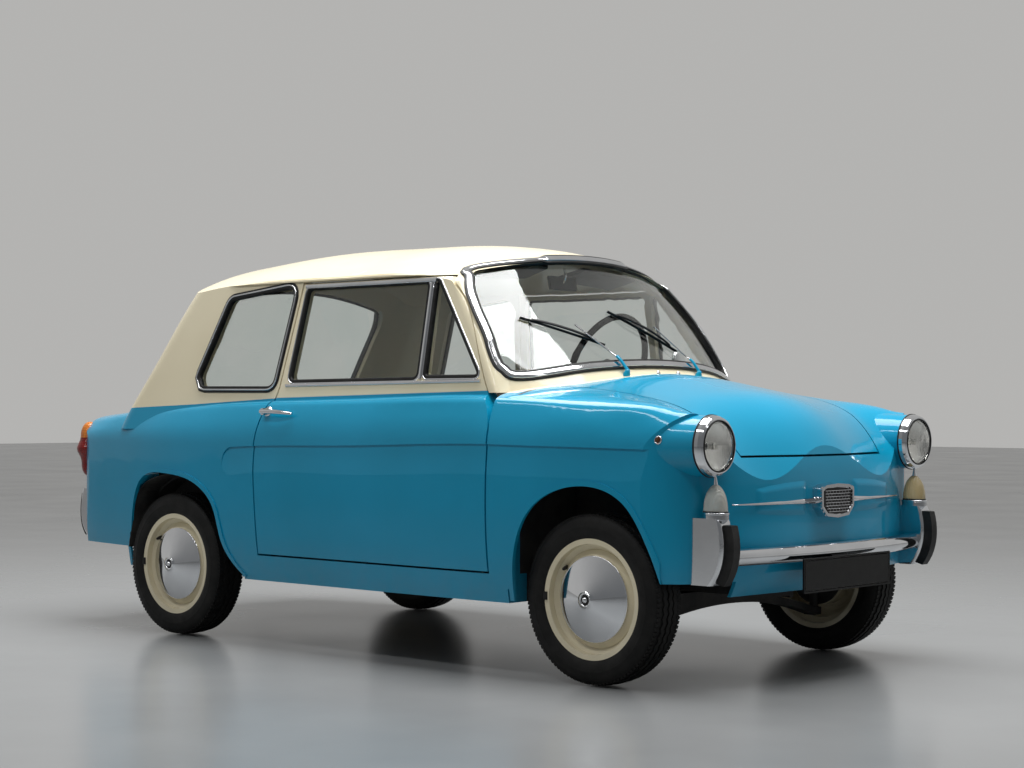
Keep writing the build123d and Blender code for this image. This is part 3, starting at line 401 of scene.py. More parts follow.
finish.update({
    "chrome": plated("chrome"),
    "underseal": dark_metal("underseal"),
    "seal_rubber": rubber("seal_rubber", (0.006, 0.006, 0.006, 1), (0.020, 0.020, 0.020, 1), 0.42),
    "tyre_rubber": rubber("tyre_rubber", (0.004, 0.004, 0.004, 1), (0.012, 0.0115, 0.011, 1), 0.62, 160),
    "pane": window_glass("pane"),
    "headlamp_glass": lamp_lens("headlamp_glass", (0.93, 0.92, 0.86, 1), 0.006),
})
print("finishes:", len(finish))

# %% [markdown]
# ## Paint the CAD pieces
#
# The frame's own meshes are never changed. A finish reaches them through their
# material slots. The doors cross the line between the two colours, so their paint
# changes with height, and the front turn lamps are clear on one side of the car
# and amber on the other, so theirs changes with place along Y.

# %% Lamp glasses that change colour
def tail_glass(name):
    """Orange above, red below, with fine rings pressed round the glass."""
    material, tree, shader = node_material(name)
    xyz, x, y, z = object_xyz(tree)
    mottle = noise(tree, xyz, 50, 3)
    amber = tones(tree, mottle, (0.78, 0.22, 0.03, 1), (0.88, 0.30, 0.05, 1))
    red = tones(tree, mottle, (0.22, 0.008, 0.008, 1), (0.32, 0.012, 0.010, 1))
    tree.links.new(blend(tree, above(tree, z, 0.664), red, amber), shader.inputs["Base Color"])
    tree.links.new(level(tree, mottle, 0.05, 0.14), shader.inputs["Roughness"])
    shader.inputs["Transmission Weight"].default_value = 0.35
    bump(tree, shader, maths(tree, "SINE", maths(tree, "MULTIPLY", z, 2 * math.pi / 0.006)), 0.35, 0.001)
    return material


def turn_glass(name):
    """Clear on the car's right, amber on its left, with upright flutes."""
    material, tree, shader = node_material(name)
    xyz, x, y, z = object_xyz(tree)
    mottle = noise(tree, xyz, 45, 3)
    clear = tones(tree, mottle, (0.80, 0.78, 0.70, 1), (0.90, 0.88, 0.80, 1))
    amber = tones(tree, mottle, (0.74, 0.58, 0.30, 1), (0.82, 0.66, 0.38, 1))
    tree.links.new(blend(tree, above(tree, y, 0.0), clear, amber), shader.inputs["Base Color"])
    tree.links.new(level(tree, mottle, 0.04, 0.12), shader.inputs["Roughness"])
    shader.inputs["Transmission Weight"].default_value = 0.55
    turned = maths(tree, "MULTIPLY", maths(tree, "ADD", x, maths(tree, "ABSOLUTE", y)), 2 * math.pi / 0.006)
    bump(tree, shader, maths(tree, "SINE", turned), 0.4, 0.001)
    return material


def hide(name, dark, light, rough):
    """Grained seat and trim hide: fine pebble relief over slow tone changes."""
    material, tree, shader = node_material(name)
    xyz, x, y, z = object_xyz(tree)
    cells = add_node(tree, "ShaderNodeTexVoronoi", {"Vector": xyz}, Scale=420.0)
    tree.links.new(tones(tree, noise(tree, xyz, 9, 5, 0.6), dark, light), shader.inputs["Base Color"])
    tree.links.new(level(tree, noise(tree, xyz, 30, 4), rough - 0.06, rough + 0.10), shader.inputs["Roughness"])
    bump(tree, shader, cells.outputs["Distance"], 0.25, 0.0008)
    return material


finish.update({
    "tail_glass": tail_glass("tail_glass"),
    "turn_glass": turn_glass("turn_glass"),
    "seat_hide": hide("seat_hide", (0.40, 0.36, 0.29, 1), (0.50, 0.46, 0.38, 1), 0.48),
    "trim_hide": hide("trim_hide", (0.030, 0.028, 0.026, 1), (0.055, 0.050, 0.046, 1), 0.5),
    "plate_enamel": rubber("plate_enamel", (0.002, 0.002, 0.002, 1), (0.004, 0.004, 0.004, 1), 0.40, 90),
    "white_enamel": enamel("white_enamel", ((0.72, 0.72, 0.69, 1), (0.80, 0.80, 0.77, 1))),
    "dash_blue": enamel("dash_blue", ((0.010, 0.16, 0.27, 1), (0.014, 0.19, 0.31, 1))),
    "wheel_black": rubber("wheel_black", (0.010, 0.010, 0.010, 1), (0.022, 0.022, 0.022, 1), 0.24, 60),
})

# %% Give every node its finish
FINISH_OF = {
    "body_blue": "nose_panel fender_right fender_left quarter_right quarter_left tail_panel bonnet engine_lid",
    "roof_cream": "greenhouse rim_front_right rim_front_left rim_rear_right rim_rear_left",
    "door_two_tone": "door_right door_left",
    "chrome": "front_bumper rear_bumper headlamp_shells nose_badge door_handle_right door_handle_left "
              "hubcap_front_right hubcap_front_left hubcap_rear_right hubcap_rear_left",
    "underseal": "floor_pan powertrain front_suspension rear_suspension knuckle_right knuckle_left",
    "pane": "fixed_glass door_glass_right door_glass_left",
    "seal_rubber": "bumper_buffers wipers",
    "tyre_rubber": "tyre_front_right tyre_front_left tyre_rear_right tyre_rear_left",
    "headlamp_glass": "headlamp_lenses",
    "turn_glass": "front_turn_lamps",
    "tail_glass": "tail_lamps",
    "plate_enamel": "number_plate",
    "seat_hide": "seats",
    "dash_blue": "dashboard",
    "wheel_black": "steering_wheel",
}
painted = set()
for look_name, names in FINISH_OF.items():
    for name in names.split():
        for place in nodes[name].material_slots:
            place.material = finish[look_name]
        painted.add(name)
print("not painted:", sorted(set(nodes) - painted))

# %% [markdown]
# ## Trim that follows a line
#
# Gaskets, bright strips and welts are all the same idea: a small section swept
# along a line that lies on the body. Here the line is a mesh of edges that
# carries, at each point, the direction that faces away from the body. A Geometry
# Nodes tree turns it into a curve, sets that direction as the curve's normal so
# the section cannot twist, and sweeps a rounded rectangle along it.

# %% The sweep's node tree
def socket_ids(tree):
    """The identifier of each named input of a tree."""
    return {item.name: item.identifier for item in tree.interface.items_tree if item.in_out == "INPUT"}


def start_tree(name, inputs):
    """A geometry tree with a Geometry input, named inputs and a Geometry output."""
    tree = bpy.data.node_groups.new(name, "GeometryNodeTree")
    tree.is_modifier = True
    tree.interface.new_socket(name="Geometry", in_out="INPUT", socket_type="NodeSocketGeometry")
    for label, kind in inputs:
        tree.interface.new_socket(name=label, in_out="INPUT", socket_type="NodeSocket" + kind)
    tree.interface.new_socket(name="Geometry", in_out="OUTPUT", socket_type="NodeSocketGeometry")
    return tree, tree.nodes.new("NodeGroupInput").outputs, tree.nodes.new("NodeGroupOutput").inputs[0]


def end_tree(tree, geometry, material, target):
    """Realize Instances and Set Material, as each tree ends."""
    real = add_node(tree, "GeometryNodeRealizeInstances", {"Geometry": geometry})
    dressed = add_node(tree, "GeometryNodeSetMaterial", {"Geometry": real.outputs[0], "Material": material})
    tree.links.new(dressed.outputs[0], target)


def bead_tree():
    """Sweeps a rounded rectangle along the edges of a mesh."""
    tree, inputs, target = start_tree("bead_along_line", [
        ("Width", "Float"), ("Height", "Float"), ("Corner", "Float"), ("Material", "Material")])
    line = add_node(tree, "GeometryNodeMeshToCurve", {"Mesh": inputs["Geometry"]})
    away = add_node(tree, "GeometryNodeInputNamedAttribute", data_type="FLOAT_VECTOR")
    away.inputs["Name"].default_value = "away"
    faced = add_node(tree, "GeometryNodeSetCurveNormal", {"Curve": line.outputs[0], "Normal": away.outputs[0]},
                     mode="FREE")
    section = add_node(tree, "GeometryNodeCurvePrimitiveQuadrilateral",
                       {"Width": inputs["Height"], "Height": inputs["Width"]})
    rounded = add_node(tree, "GeometryNodeFilletCurve", {"Curve": section.outputs[0], "Radius": inputs["Corner"]},
                       mode="POLY")
    rounded.inputs["Count"].default_value = 3
    rounded.inputs["Limit Radius"].default_value = True
    swept = add_node(tree, "GeometryNodeCurveToMesh",
                     {"Curve": faced.outputs[0], "Profile Curve": rounded.outputs[0]})
    swept.inputs["Fill Caps"].default_value = True
    end_tree(tree, swept.outputs[0], inputs["Material"], target)
    return tree


BEAD = bead_tree()


def run_tree(name, source, tree, values):
    """Runs a tree on a source mesh object; its result is a plain mesh object."""
    modifier = source.modifiers.new(tree.name, "NODES")
    modifier.node_group = tree
    ids = socket_ids(tree)
    for label, value in values.items():
        modifier[ids[label]] = value
    graph = bpy.context.evaluated_depsgraph_get()
    mesh = bpy.data.meshes.new_from_object(source.evaluated_get(graph), depsgraph=graph)
    bpy.data.objects.remove(source)
    mesh.name = name
    soft_shaded(mesh)
    return linked(name, mesh)


def fix(obj, body):
    """The piece moves with a body."""
    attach(obj, body)
    return obj


def bead(name, lines, width, height, look_name, body="body", corner=0.45):
    """Trim swept along lines: each line is (points, away directions, closed)."""
    mesh = bpy.data.meshes.new(name + "_line")
    corners, edges, aways = [], [], []
    for points, away, closed in lines:
        first = len(corners)
        corners += [tuple(p) for p in points]
        aways += [tuple(a) for a in away]
        edges += [(first + i, first + i + 1) for i in range(len(points) - 1)]
        if closed:
            edges.append((first + len(points) - 1, first))
    mesh.from_pydata(corners, edges, [])
    store = mesh.attributes.new("away", "FLOAT_VECTOR", "POINT")
    for item, vector in zip(store.data, aways):
        item.vector = vector
    obj = run_tree(name, linked(name + "_line", mesh), BEAD, {"Width": width, "Height": height,
                                        "Corner": corner * min(width, height), "Material": finish[look_name]})
    bm = bmesh.new()
    bm.from_mesh(obj.data)
    bmesh.ops.remove_doubles(bm, verts=bm.verts, dist=1e-6)
    bmesh.ops.recalc_face_normals(bm, faces=bm.faces)
    bm.to_mesh(obj.data)
    bm.free()
    return fix(obj, body)


def facing_line(points, away):
    """An open line whose points all face one way."""
    return [Vector(p) for p in points], [Vector(away)] * len(points), False


def pairs_line(pairs):
    """An open line from (place, away direction) pairs."""
    return [place for place, _ in pairs], [away for _, away in pairs], False


print("sweep inputs:", sorted(socket_ids(BEAD)))

# %% [markdown]
# ## Where the windows' edges are
#
# Each window is drawn as a flat outline with round corners, and then thrown onto
# the curved glass with rays. A ray that hits the glass gives a place and the
# direction that faces out, and those two are all that the sweep needs.

# %% Lines on the body
GLASS_DEPTH = 0.012


def surface(*names):
    """A ray target made of the meshes of some nodes."""
    corners, faces = [], []
    for name in names:
        first = len(corners)
        corners += [v.co.copy() for v in nodes[name].data.vertices]
        faces += [[first + i for i in face.vertices] for face in nodes[name].data.polygons]
    return BVHTree.FromPolygons(corners, faces)


def land(target, start, direction):
    """Where a ray lands, and the direction that faces back along it."""
    place, normal, _, _ = target.ray_cast(Vector(start), Vector(direction))
    if place is None:
        return None, None
    return place, (normal if normal.dot(Vector(direction)) < 0 else -normal)


def rounded(corners, radius, steps=6):
    """A closed outline with each corner rounded, as flat points."""
    flat = [Vector(c) for c in corners]
    outline = []
    for i, corner in enumerate(flat):
        before = (flat[i - 1] - corner).normalized()
        after = (flat[(i + 1) % len(flat)] - corner).normalized()
        half = before.angle(after) / 2
        reach = min(radius / math.tan(half), 0.45 * (flat[i - 1] - corner).length,
                    0.45 * (flat[(i + 1) % len(flat)] - corner).length)
        start, end = corner + before * reach, corner + after * reach
        for k in range(steps + 1):
            t = k / steps
            outline.append(start * (1 - t) ** 2 + corner * 2 * t * (1 - t) + end * t ** 2)
    return outline


def evened(outline, gap, closed=True):
    """The same line with its points set at even gaps."""
    ends = outline + outline[:1] if closed else outline
    spots = [ends[0]]
    for a, b in zip(ends, ends[1:]):
        count = max(1, round((b - a).length / gap))
        spots += [a.lerp(b, (k + 1) / count) for k in range(count)]
    return spots[:-1] if closed else spots


def smooth_line(points, steps=8, closed=False):
    """A soft curve through a few points, as flat or solid points."""
    rows = [Vector(p) for p in points]
    count = len(rows)
    line = []
    for i in range(count if closed else count - 1):
        a, b = rows[i], rows[(i + 1) % count]
        before = rows[i - 1] if i or closed else a * 2 - b
        after = rows[(i + 2) % count] if closed or i + 2 < count else b * 2 - a
        for k in range(steps):
            t = k / steps
            line.append(0.5 * (2 * a + (b - before) * t + (2 * before - 5 * a + 4 * b - after) * t ** 2
                               + (3 * a - before - 3 * b + after) * t ** 3))
    return line if closed else line + [rows[-1]]


def pane_edge(target, outline, spread, direction, inset=0.006):
    """Frames round a pane: its edge's place on the glass, facing out, and away from the pane."""
    middle = sum(outline, Vector((0, 0))) / len(outline)
    found = []
    count = len(outline)
    for i, flat in enumerate(outline):
        along = outline[(i + 1) % count] - outline[i - 1]
        side = Vector((along.y, -along.x)).normalized()
        if side.dot(flat - middle) < 0:
            side = -side
        place, normal = land(target, spread(flat - side * inset), direction)
        if place is not None:
            found.append((place, normal))
    frames = []
    for i, (place, normal) in enumerate(found):
        along = (found[(i + 1) % len(found)][0] - found[i - 1][0]).normalized()
        away = along.cross(normal).normalized()
        centre = sum((p for p, _ in found), Vector()) / len(found)
        if away.dot(place - centre) < 0:
            away = -away
        frames.append((place + away * inset, normal, away))
    return frames


def moved(frames, across, lift, closed=True):
    """A line beside a pane's edge: so far away from the pane, and so far out from the glass."""
    return ([p + away * across + out * lift for p, out, away in frames], [out for _, out, _ in frames], closed)


# %% The window outlines
VENT = [(0.604, 0.868), (0.388, 1.162), (0.372, 1.162), (0.372, 0.868)]
DOOR = [(0.345, 1.162), (-0.207, 1.162), (-0.240, 0.858), (0.345, 0.863)]
QUARTER = [(-0.256, 1.174), (-0.588, 1.140), (-0.722, 0.838), (-0.307, 0.836)]
SCREEN = [(0, 0.908), (0.280, 0.897), (0.505, 0.868), (0.545, 0.888), (0.553, 0.915), (0.541, 0.995),
          (0.529, 1.075), (0.495, 1.155), (0.440, 1.199), (0.210, 1.231), (0, 1.240)]
REAR = [(0, 0.838), (0.230, 0.832), (0.400, 0.814), (0.437, 0.826), (0.442, 0.855), (0.436, 0.960),
        (0.430, 1.060), (0.410, 1.120), (0.370, 1.150), (0.180, 1.186), (0, 1.196)]


def both_halves(half):
    """A closed outline from its half on the car's left."""
    return [Vector(p) for p in half] + [Vector((-y, z)) for y, z in reversed(half[1:-1])]


glass = surface("fixed_glass")
windows = {
    "screen": pane_edge(glass, evened(smooth_line(both_halves(SCREEN), 6, True), 0.02),
                        lambda p: (1.6, p.x, p.y), (-1, 0, 0)),
    "rear": pane_edge(glass, evened(smooth_line(both_halves(REAR), 6, True), 0.02),
                      lambda p: (-1.6, p.x, p.y), (1, 0, 0)),
}
for side, sign in SIDES:
    door_glass = surface("door_glass_" + side)

    def outside(flat, sign=sign):
        """A place beside the car at a flat point of its side."""
        return flat.x, sign, flat.y

    inward = (0, -sign, 0)
    windows["quarter_" + side] = pane_edge(glass, evened(rounded(QUARTER, 0.042), 0.02), outside, inward)
    windows["vent_" + side] = pane_edge(door_glass, evened(rounded(VENT, 0.014), 0.02), outside, inward)
    windows["door_" + side] = pane_edge(door_glass, evened(rounded(DOOR, 0.024), 0.02), outside, inward)
print("window edges:", {name: len(frames) for name, frames in windows.items()})

# %% [markdown]
# ## Gaskets and bright strips
#
# A fixed pane sits in a rubber gasket that fills the gap between glass and steel.
# On the outside the gasket shows as two dark lines with a bright strip let into
# it. Three beads make it: a deep dark one in the gap, a broad dark one over the
# edge of the steel, and a narrow plated one on top.

# %% Screen, rear window and quarter windows
def gasket(name, frames, body, strip=0.011, broad=0.024):
    """Rubber in the gap and over the steel's edge, with a plated strip let in."""
    bead(name + "_inner_gasket", [moved(frames, -0.002, 0.005)], 0.010, 0.018, "seal_rubber", body)
    bead(name + "_outer_gasket", [moved(frames, 0.004, GLASS_DEPTH + 0.0005)], broad, 0.007, "seal_rubber", body)
    bead(name + "_bright_strip", [moved(frames, 0.005, GLASS_DEPTH + 0.004)], strip, 0.006, "chrome", body)


gasket("screen", windows["screen"], "body", 0.019, 0.036)
gasket("rear_window", windows["rear"], "body", 0.012, 0.026)
for side in ("right", "left"):
    gasket("quarter_window_" + side, windows["quarter_" + side], "body", 0.006, 0.022)
    door = "door_" + side
    for pane_name in ("door", "vent"):
        frames = windows[pane_name + "_" + side]
        bead(pane_name + "_channel_" + side, [moved(frames, -0.002, 0.004)], 0.010, 0.014, "seal_rubber", door)
        bead(pane_name + "_rubber_" + side, [moved(frames, 0.001, GLASS_DEPTH - 0.003)], 0.013, 0.006, "seal_rubber",
             door)
        bead(pane_name + "_frame_" + side, [moved(frames, 0.0075, GLASS_DEPTH - 0.002)], 0.006, 0.007, "chrome", door)

# %% [markdown]
# ## Strips, gutters and the door's trim
#
# A strip that runs across a panel is laid the same way: its flat line is thrown
# onto the panel. The bright strip at the foot of the door glass, the thick one
# along its top, and the post between the two panes are all such lines.

# %% Lines laid on panels
def laid(target, points, direction, lift=0.0, gap=0.02, closed=False, start=1.7):
    """A line thrown onto a panel: solid points moved far back along the direction, then dropped."""
    way = Vector(direction)
    places, outs = [], []
    for point in evened([Vector(p) for p in points], gap, closed):
        place, out = land(target, point - way * start, way)
        if place is not None:
            places.append(place + out * lift)
            outs.append(out)
    return places, outs, closed


for side, sign in SIDES:
    door = surface("door_" + side)
    inward = (0, -sign, 0)
    belt = [(0.610, 0, 0.857), (-0.250, 0, 0.847)]
    top = [(0.378, 0, 1.1675), (-0.212, 0, 1.1675)]
    bead("belt_strip_" + side, [laid(door, belt, inward, 0.001)], 0.009, 0.006, "chrome", "door_" + side)
    bead("top_strip_" + side, [laid(door, top, inward, 0.002)], 0.014, 0.010, "chrome", "door_" + side)
    bead("glass_post_" + side, [laid(door, [(0.358, 0, 0.864), (0.358, 0, 1.160)], inward, 0.001)],
         0.012, 0.008, "chrome", "door_" + side)

# %% [markdown]
# ## Turned pieces
#
# Lamp rims, buttons and knobs are turned on a lathe, and so they are here: a
# profile of points is spun about a line that starts where the piece is fixed. The
# small red marker on each wing and the rose behind each door handle come first.

# %% Side markers and handle roses
def lathe(name, profile, place, facing, look_name, body="body", steps=40):
    """A turned piece: (out, radius) points about a line through a place, facing a direction."""
    turn = Vector(facing).to_track_quat("Z", "Y").to_matrix().to_4x4()
    bm = bmesh.new()
    rings = []
    for out, radius in profile:
        if radius < 1e-6:
            rings.append([bm.verts.new((0, 0, out))])
        else:
            rings.append([bm.verts.new((radius * math.cos(2 * math.pi * k / steps),
                                        radius * math.sin(2 * math.pi * k / steps), out)) for k in range(steps)])
    for a, b in zip(rings, rings[1:]):
        for k in range(steps):
            corners = [a[k % len(a)], a[(k + 1) % len(a)], b[(k + 1) % len(b)], b[k % len(b)]]
            unique = [v for i, v in enumerate(corners) if v not in corners[:i]]
            if len(unique) > 2:
                bm.faces.new(unique)
    piece = closed_form(name, bm, finish[look_name])
    piece.data.transform(Matrix.Translation(Vector(place)) @ turn)
    return fix(piece, body)


finish["marker_glass"] = lamp_lens("marker_glass", (0.75, 0.10, 0.02, 1))
BUTTON = [(-0.004, 0), (-0.004, 0.0085), (0.003, 0.0085), (0.0045, 0.0065), (0.0045, 0)]
RING = [(-0.004, 0.009), (-0.004, 0.0125), (0.0015, 0.0125), (0.003, 0.0105), (0.003, 0.009), (-0.004, 0.009)]
for side, sign in SIDES:
    inward = Vector((0, -sign, 0))
    place, out = land(surface("fender_" + side), (1.280, sign * 1.5, 0.691), inward)
    lathe("side_marker_" + side, BUTTON, place, out, "marker_glass", steps=24)
    lathe("side_marker_ring_" + side, RING, place, out, "chrome", steps=24)
    place, out = land(surface("door_" + side), (-0.284, sign * 1.5, 0.763), inward)
    lathe("handle_rose_" + side, [(-0.004, 0.0115), (-0.004, 0.018), (0.003, 0.017), (0.005, 0.013), (0.005, 0.0115),
                                  (-0.004, 0.0115)], place, out, "chrome", "door_" + side, 28)

# %% [markdown]
# ## Tyres
#
# A tyre is a turned carcass with a tread pattern repeated round it. The carcass
# is one profile spun about the axle. The pattern is three ribs that zigzag and a
# row of blocks on each shoulder, and Geometry Nodes make both: a circle whose
# points step from side to side gives a rib, and instances give the blocks.

# %% The tread's node tree
def tread_tree():
    """Zigzag ribs and shoulder blocks round the Z axis."""
    tree, inputs, target = start_tree("tyre_tread", [
        ("Radius", "Float"), ("Zigzag", "Float"), ("Rib Width", "Float"), ("Rib Height", "Float"),
        ("Rib Gap", "Float"), ("Shoulder", "Float"), ("Steps", "Int"), ("Blocks", "Int"), ("Material", "Material")])
    index = tree.nodes.new("GeometryNodeInputIndex").outputs[0]
    here = tree.nodes.new("GeometryNodeInputPosition").outputs[0]
    odd = maths(tree, "SUBTRACT", maths(tree, "MULTIPLY", maths(tree, "MODULO", index, 2.0), 2.0), 1.0)
    shift = add_node(tree, "ShaderNodeCombineXYZ", {"Z": maths(tree, "MULTIPLY", odd, inputs["Zigzag"])}).outputs[0]
    joined = tree.nodes.new("GeometryNodeJoinGeometry")
    for row in (-1, 0, 1):
        drop = maths(tree, "SUBTRACT", inputs["Radius"], 0.0012 * abs(row))
        circle = add_node(tree, "GeometryNodeCurvePrimitiveCircle", {"Resolution": inputs["Steps"], "Radius": drop})
        stepped = add_node(tree, "GeometryNodeSetPosition", {"Geometry": circle.outputs[0], "Offset": shift})
        faced = add_node(tree, "GeometryNodeSetCurveNormal", {"Curve": stepped.outputs[0], "Normal": here},
                         mode="FREE")
        section = add_node(tree, "GeometryNodeCurvePrimitiveQuadrilateral",
                           {"Width": inputs["Rib Height"], "Height": inputs["Rib Width"]})
        rib = add_node(tree, "GeometryNodeCurveToMesh",
                       {"Curve": faced.outputs[0], "Profile Curve": section.outputs[0]})
        aside = add_node(tree, "ShaderNodeCombineXYZ", {"Z": maths(tree, "MULTIPLY", inputs["Rib Gap"], float(row))})
        placed = add_node(tree, "GeometryNodeTransform",
                          {"Geometry": rib.outputs[0], "Translation": aside.outputs[0]})
        tree.links.new(placed.outputs[0], joined.inputs[0])
    for row in (-1, 1):
        ring = add_node(tree, "GeometryNodeMeshCircle", {"Vertices": inputs["Blocks"], "Radius": inputs["Radius"]})
        block = tree.nodes.new("GeometryNodeMeshCube")
        block.inputs["Size"].default_value = (0.006, 0.0100, 0.014)
        facing = add_node(tree, "FunctionNodeAlignRotationToVector", {"Vector": here}, axis="X")
        tilted = add_node(tree, "FunctionNodeRotateRotation", {"Rotation": facing.outputs[0]},
                          rotation_space="LOCAL")
        tilted.inputs["Rotate By"].default_value = (0.28 * row, 0.0, 0.0)
        copies = add_node(tree, "GeometryNodeInstanceOnPoints",
                          {"Points": ring.outputs[0], "Instance": block.outputs[0], "Rotation": tilted.outputs[0]})
        aside = add_node(tree, "ShaderNodeCombineXYZ", {"Z": maths(tree, "MULTIPLY", inputs["Shoulder"], float(row))})
        inset = add_node(tree, "GeometryNodeTransform",
                         {"Geometry": copies.outputs[0], "Translation": aside.outputs[0]})
        inset.inputs["Scale"].default_value = (0.985, 0.985, 1)
        tree.links.new(inset.outputs[0], joined.inputs[0])
    end_tree(tree, joined.outputs[0], inputs["Material"], target)
    return tree


TREAD = tread_tree()
print("tread inputs:", sorted(socket_ids(TREAD)))

# %% Four tyres, each with its valve
CARCASS = [(-0.042, 0.1605), (-0.052, 0.168), (-0.059, 0.183), (-0.0615, 0.198), (-0.0612, 0.200), (-0.0622, 0.202),
           (-0.0612, 0.204), (-0.060, 0.214), (-0.056, 0.226), (-0.050, 0.234), (-0.040, 0.2365), (0, 0.238),
           (0.040, 0.2365), (0.050, 0.234), (0.056, 0.226), (0.060, 0.214), (0.0612, 0.204), (0.0622, 0.202),
           (0.0612, 0.200), (0.0615, 0.198), (0.059, 0.183), (0.052, 0.168), (0.042, 0.1605), (-0.042, 0.1605)]


CAP = [(0.0372, 0.1165), (0.0362, 0.1190), (0.0366, 0.1212), (0.0385, 0.1222), (0.0405, 0.1218), (0.0414, 0.1203),
       (0.0416, 0.1185), (0.0422, 0.1170), (0.0430, 0.1150), (0.0520, 0.0900), (0.0630, 0.0595), (0.0740, 0.0290),
       (0.0766, 0.0218), (0.0780, 0.0208), (0.0795, 0.0195), (0.0796, 0.0172), (0.0785, 0.0155), (0.0755, 0.0146)]


def only_one(name, parts):
    """Joins meshes into one object at the origin."""
    bm = bmesh.new()
    looks = []
    for part in parts:
        first = len(bm.faces)
        bm.from_mesh(part.data)
        bm.faces.ensure_lookup_table()
        for material in part.data.materials:
            if material not in looks:
                looks.append(material)
        for face in bm.faces[first:]:
            face.material_index = looks.index(part.data.materials[min(face.material_index,
                                                                      len(part.data.materials) - 1)])
        bpy.data.objects.remove(part)
    mesh = bpy.data.meshes.new(name)
    bm.to_mesh(mesh)
    bm.free()
    for material in looks:
        mesh.materials.append(material)
    return linked(name, mesh)


def wheel_centre(place):
    """Middle of a tyre, from its node's box."""
    low, high = (Vector(c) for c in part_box("tyre_" + place))
    return (low + high) / 2


for end in ("front", "rear"):
    for side, sign in SIDES:
        place = end + "_" + side
        body = "wheel_" + place
        centre = wheel_centre(place)
        source = plain_mesh("tread_seed", [(0, 0, 0)], [])
        tread = run_tree("tread", source, TREAD, {
            "Radius": 0.2382, "Zigzag": 0.0028, "Rib Width": 0.015, "Rib Height": 0.008, "Rib Gap": 0.0215,
            "Shoulder": 0.0435, "Steps": 112, "Blocks": 110, "Material": finish["tyre_rubber"]})
        tread.data.transform(Matrix.Translation(centre) @ Matrix.Rotation(math.radians(90), 4, "X"))
        for face in tread.data.polygons:
            face.use_smooth = False
        carcass = lathe("carcass", CARCASS, centre, (0, sign, 0), "tyre_rubber", body, 72)
        tyre = only_one("tyre_" + place + "_rubber", [carcass, tread])
        fix(tyre, body)
        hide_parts("tyre_" + place)
        out = (0, sign, 0)
        cap = only_one("hubcap_" + place + "_plate", [
            lathe("cap_cone", CAP, centre, out, "chrome", body, 96),
            lathe("cap_well", [(0.0762, 0.0148), (0.0762, 0)], centre, out, "seal_rubber", body, 32),
            lathe("cap_nut", [(0.0750, 0.0085), (0.0800, 0.0080), (0.0835, 0.0055), (0.0845, 0)], centre, out,
                  "chrome", body, 24)])
        fix(cap, body)
        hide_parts("hubcap_" + place)
        lathe("valve_" + place, [(-0.006, 0), (-0.006, 0.0062), (0.012, 0.0058), (0.016, 0.0044), (0.023, 0.0044),
                                 (0.024, 0)], centre + Vector((-0.112, sign * 0.024, 0.083)), (0.3, sign, -0.2),
              "seal_rubber", body, 16)
        arc = [centre + 0.1665 * Vector((-math.cos(a), 0, math.sin(a))) for a in (-0.07, -0.035, 0, 0.035, 0.07)]
        bead("balance_weight_" + place, [laid(surface("rim_" + place), arc, (0, -sign, 0), 0.002, 0.004)],
             0.012, 0.006, "seal_rubber", body)

# %% [markdown]
# ## Wheel arch liners
#
# The inside of a wheel arch is coated black against stones and wet. A thin sheet
# that follows the arch's own outline, a little way inside it, covers the bare back
# of the panel. It is four rows of corners along a soft line, joined by faces.

# %% Black liners inside the rear arches
ARCH = [(-0.497, 0.335), (-0.534, 0.451), (-0.640, 0.530), (-0.799, 0.556), (-0.975, 0.505), (-1.034, 0.342),
        (-1.046, 0.290)]
LINER = ((0.536, 0.006), (0.628, 0.006), (0.628, 0.008), (0.536, 0.008))
for side, sign in SIDES:
    centre = wheel_centre("rear_" + side)
    hub = Vector((centre.x, centre.z))
    corners, faces = [], []
    line = smooth_line(ARCH)
    for point in line:
        away = (point - hub).normalized()
        for across, inset in LINER:
            flat = point - away * inset
            corners.append((flat.x, sign * across, flat.y))
    for k in range(len(line) - 1):
        for c in range(4):
            faces.append((4 * k + c, 4 * k + (c + 1) % 4, 4 * k + 4 + (c + 1) % 4, 4 * k + 4 + c))
    last = 4 * (len(line) - 1)
    faces += [(0, 1, 2, 3), (last + 3, last + 2, last + 1, last)]
    liner = plain_mesh("arch_liner_" + side, corners, faces if sign > 0 else [face[::-1] for face in faces],
                       finish["underseal"])
    fix(liner, "body")

# %% [markdown]
# ## Lamps
#
# A headlamp is a plated bowl behind a bowed glass with upright flutes pressed into
# it. The flutes are real waves in the glass here, because they bend the picture of
# the bowl behind them. The mesh is made of rings about the lamp's axis, and each
# point is pushed out by a wave across the lamp that fades before the rim.

# %% Headlamps
LAMP = Vector((1.394, 0.521, 0.675))
DOME = [(0.0375, 0.0), (0.0360, 0.030), (0.0320, 0.050), (0.0270, 0.0615), (0.0215, 0.0668)]
FLUTE = 0.0085


def dome_at(radius):
    """How far the glass stands out at a radius."""
    for (x0, r0), (x1, r1) in zip(DOME, DOME[1:]):
        if radius <= r1:
            return x0 + (x1 - x0) * (radius - r0) / (r1 - r0)
    return DOME[-1][0]


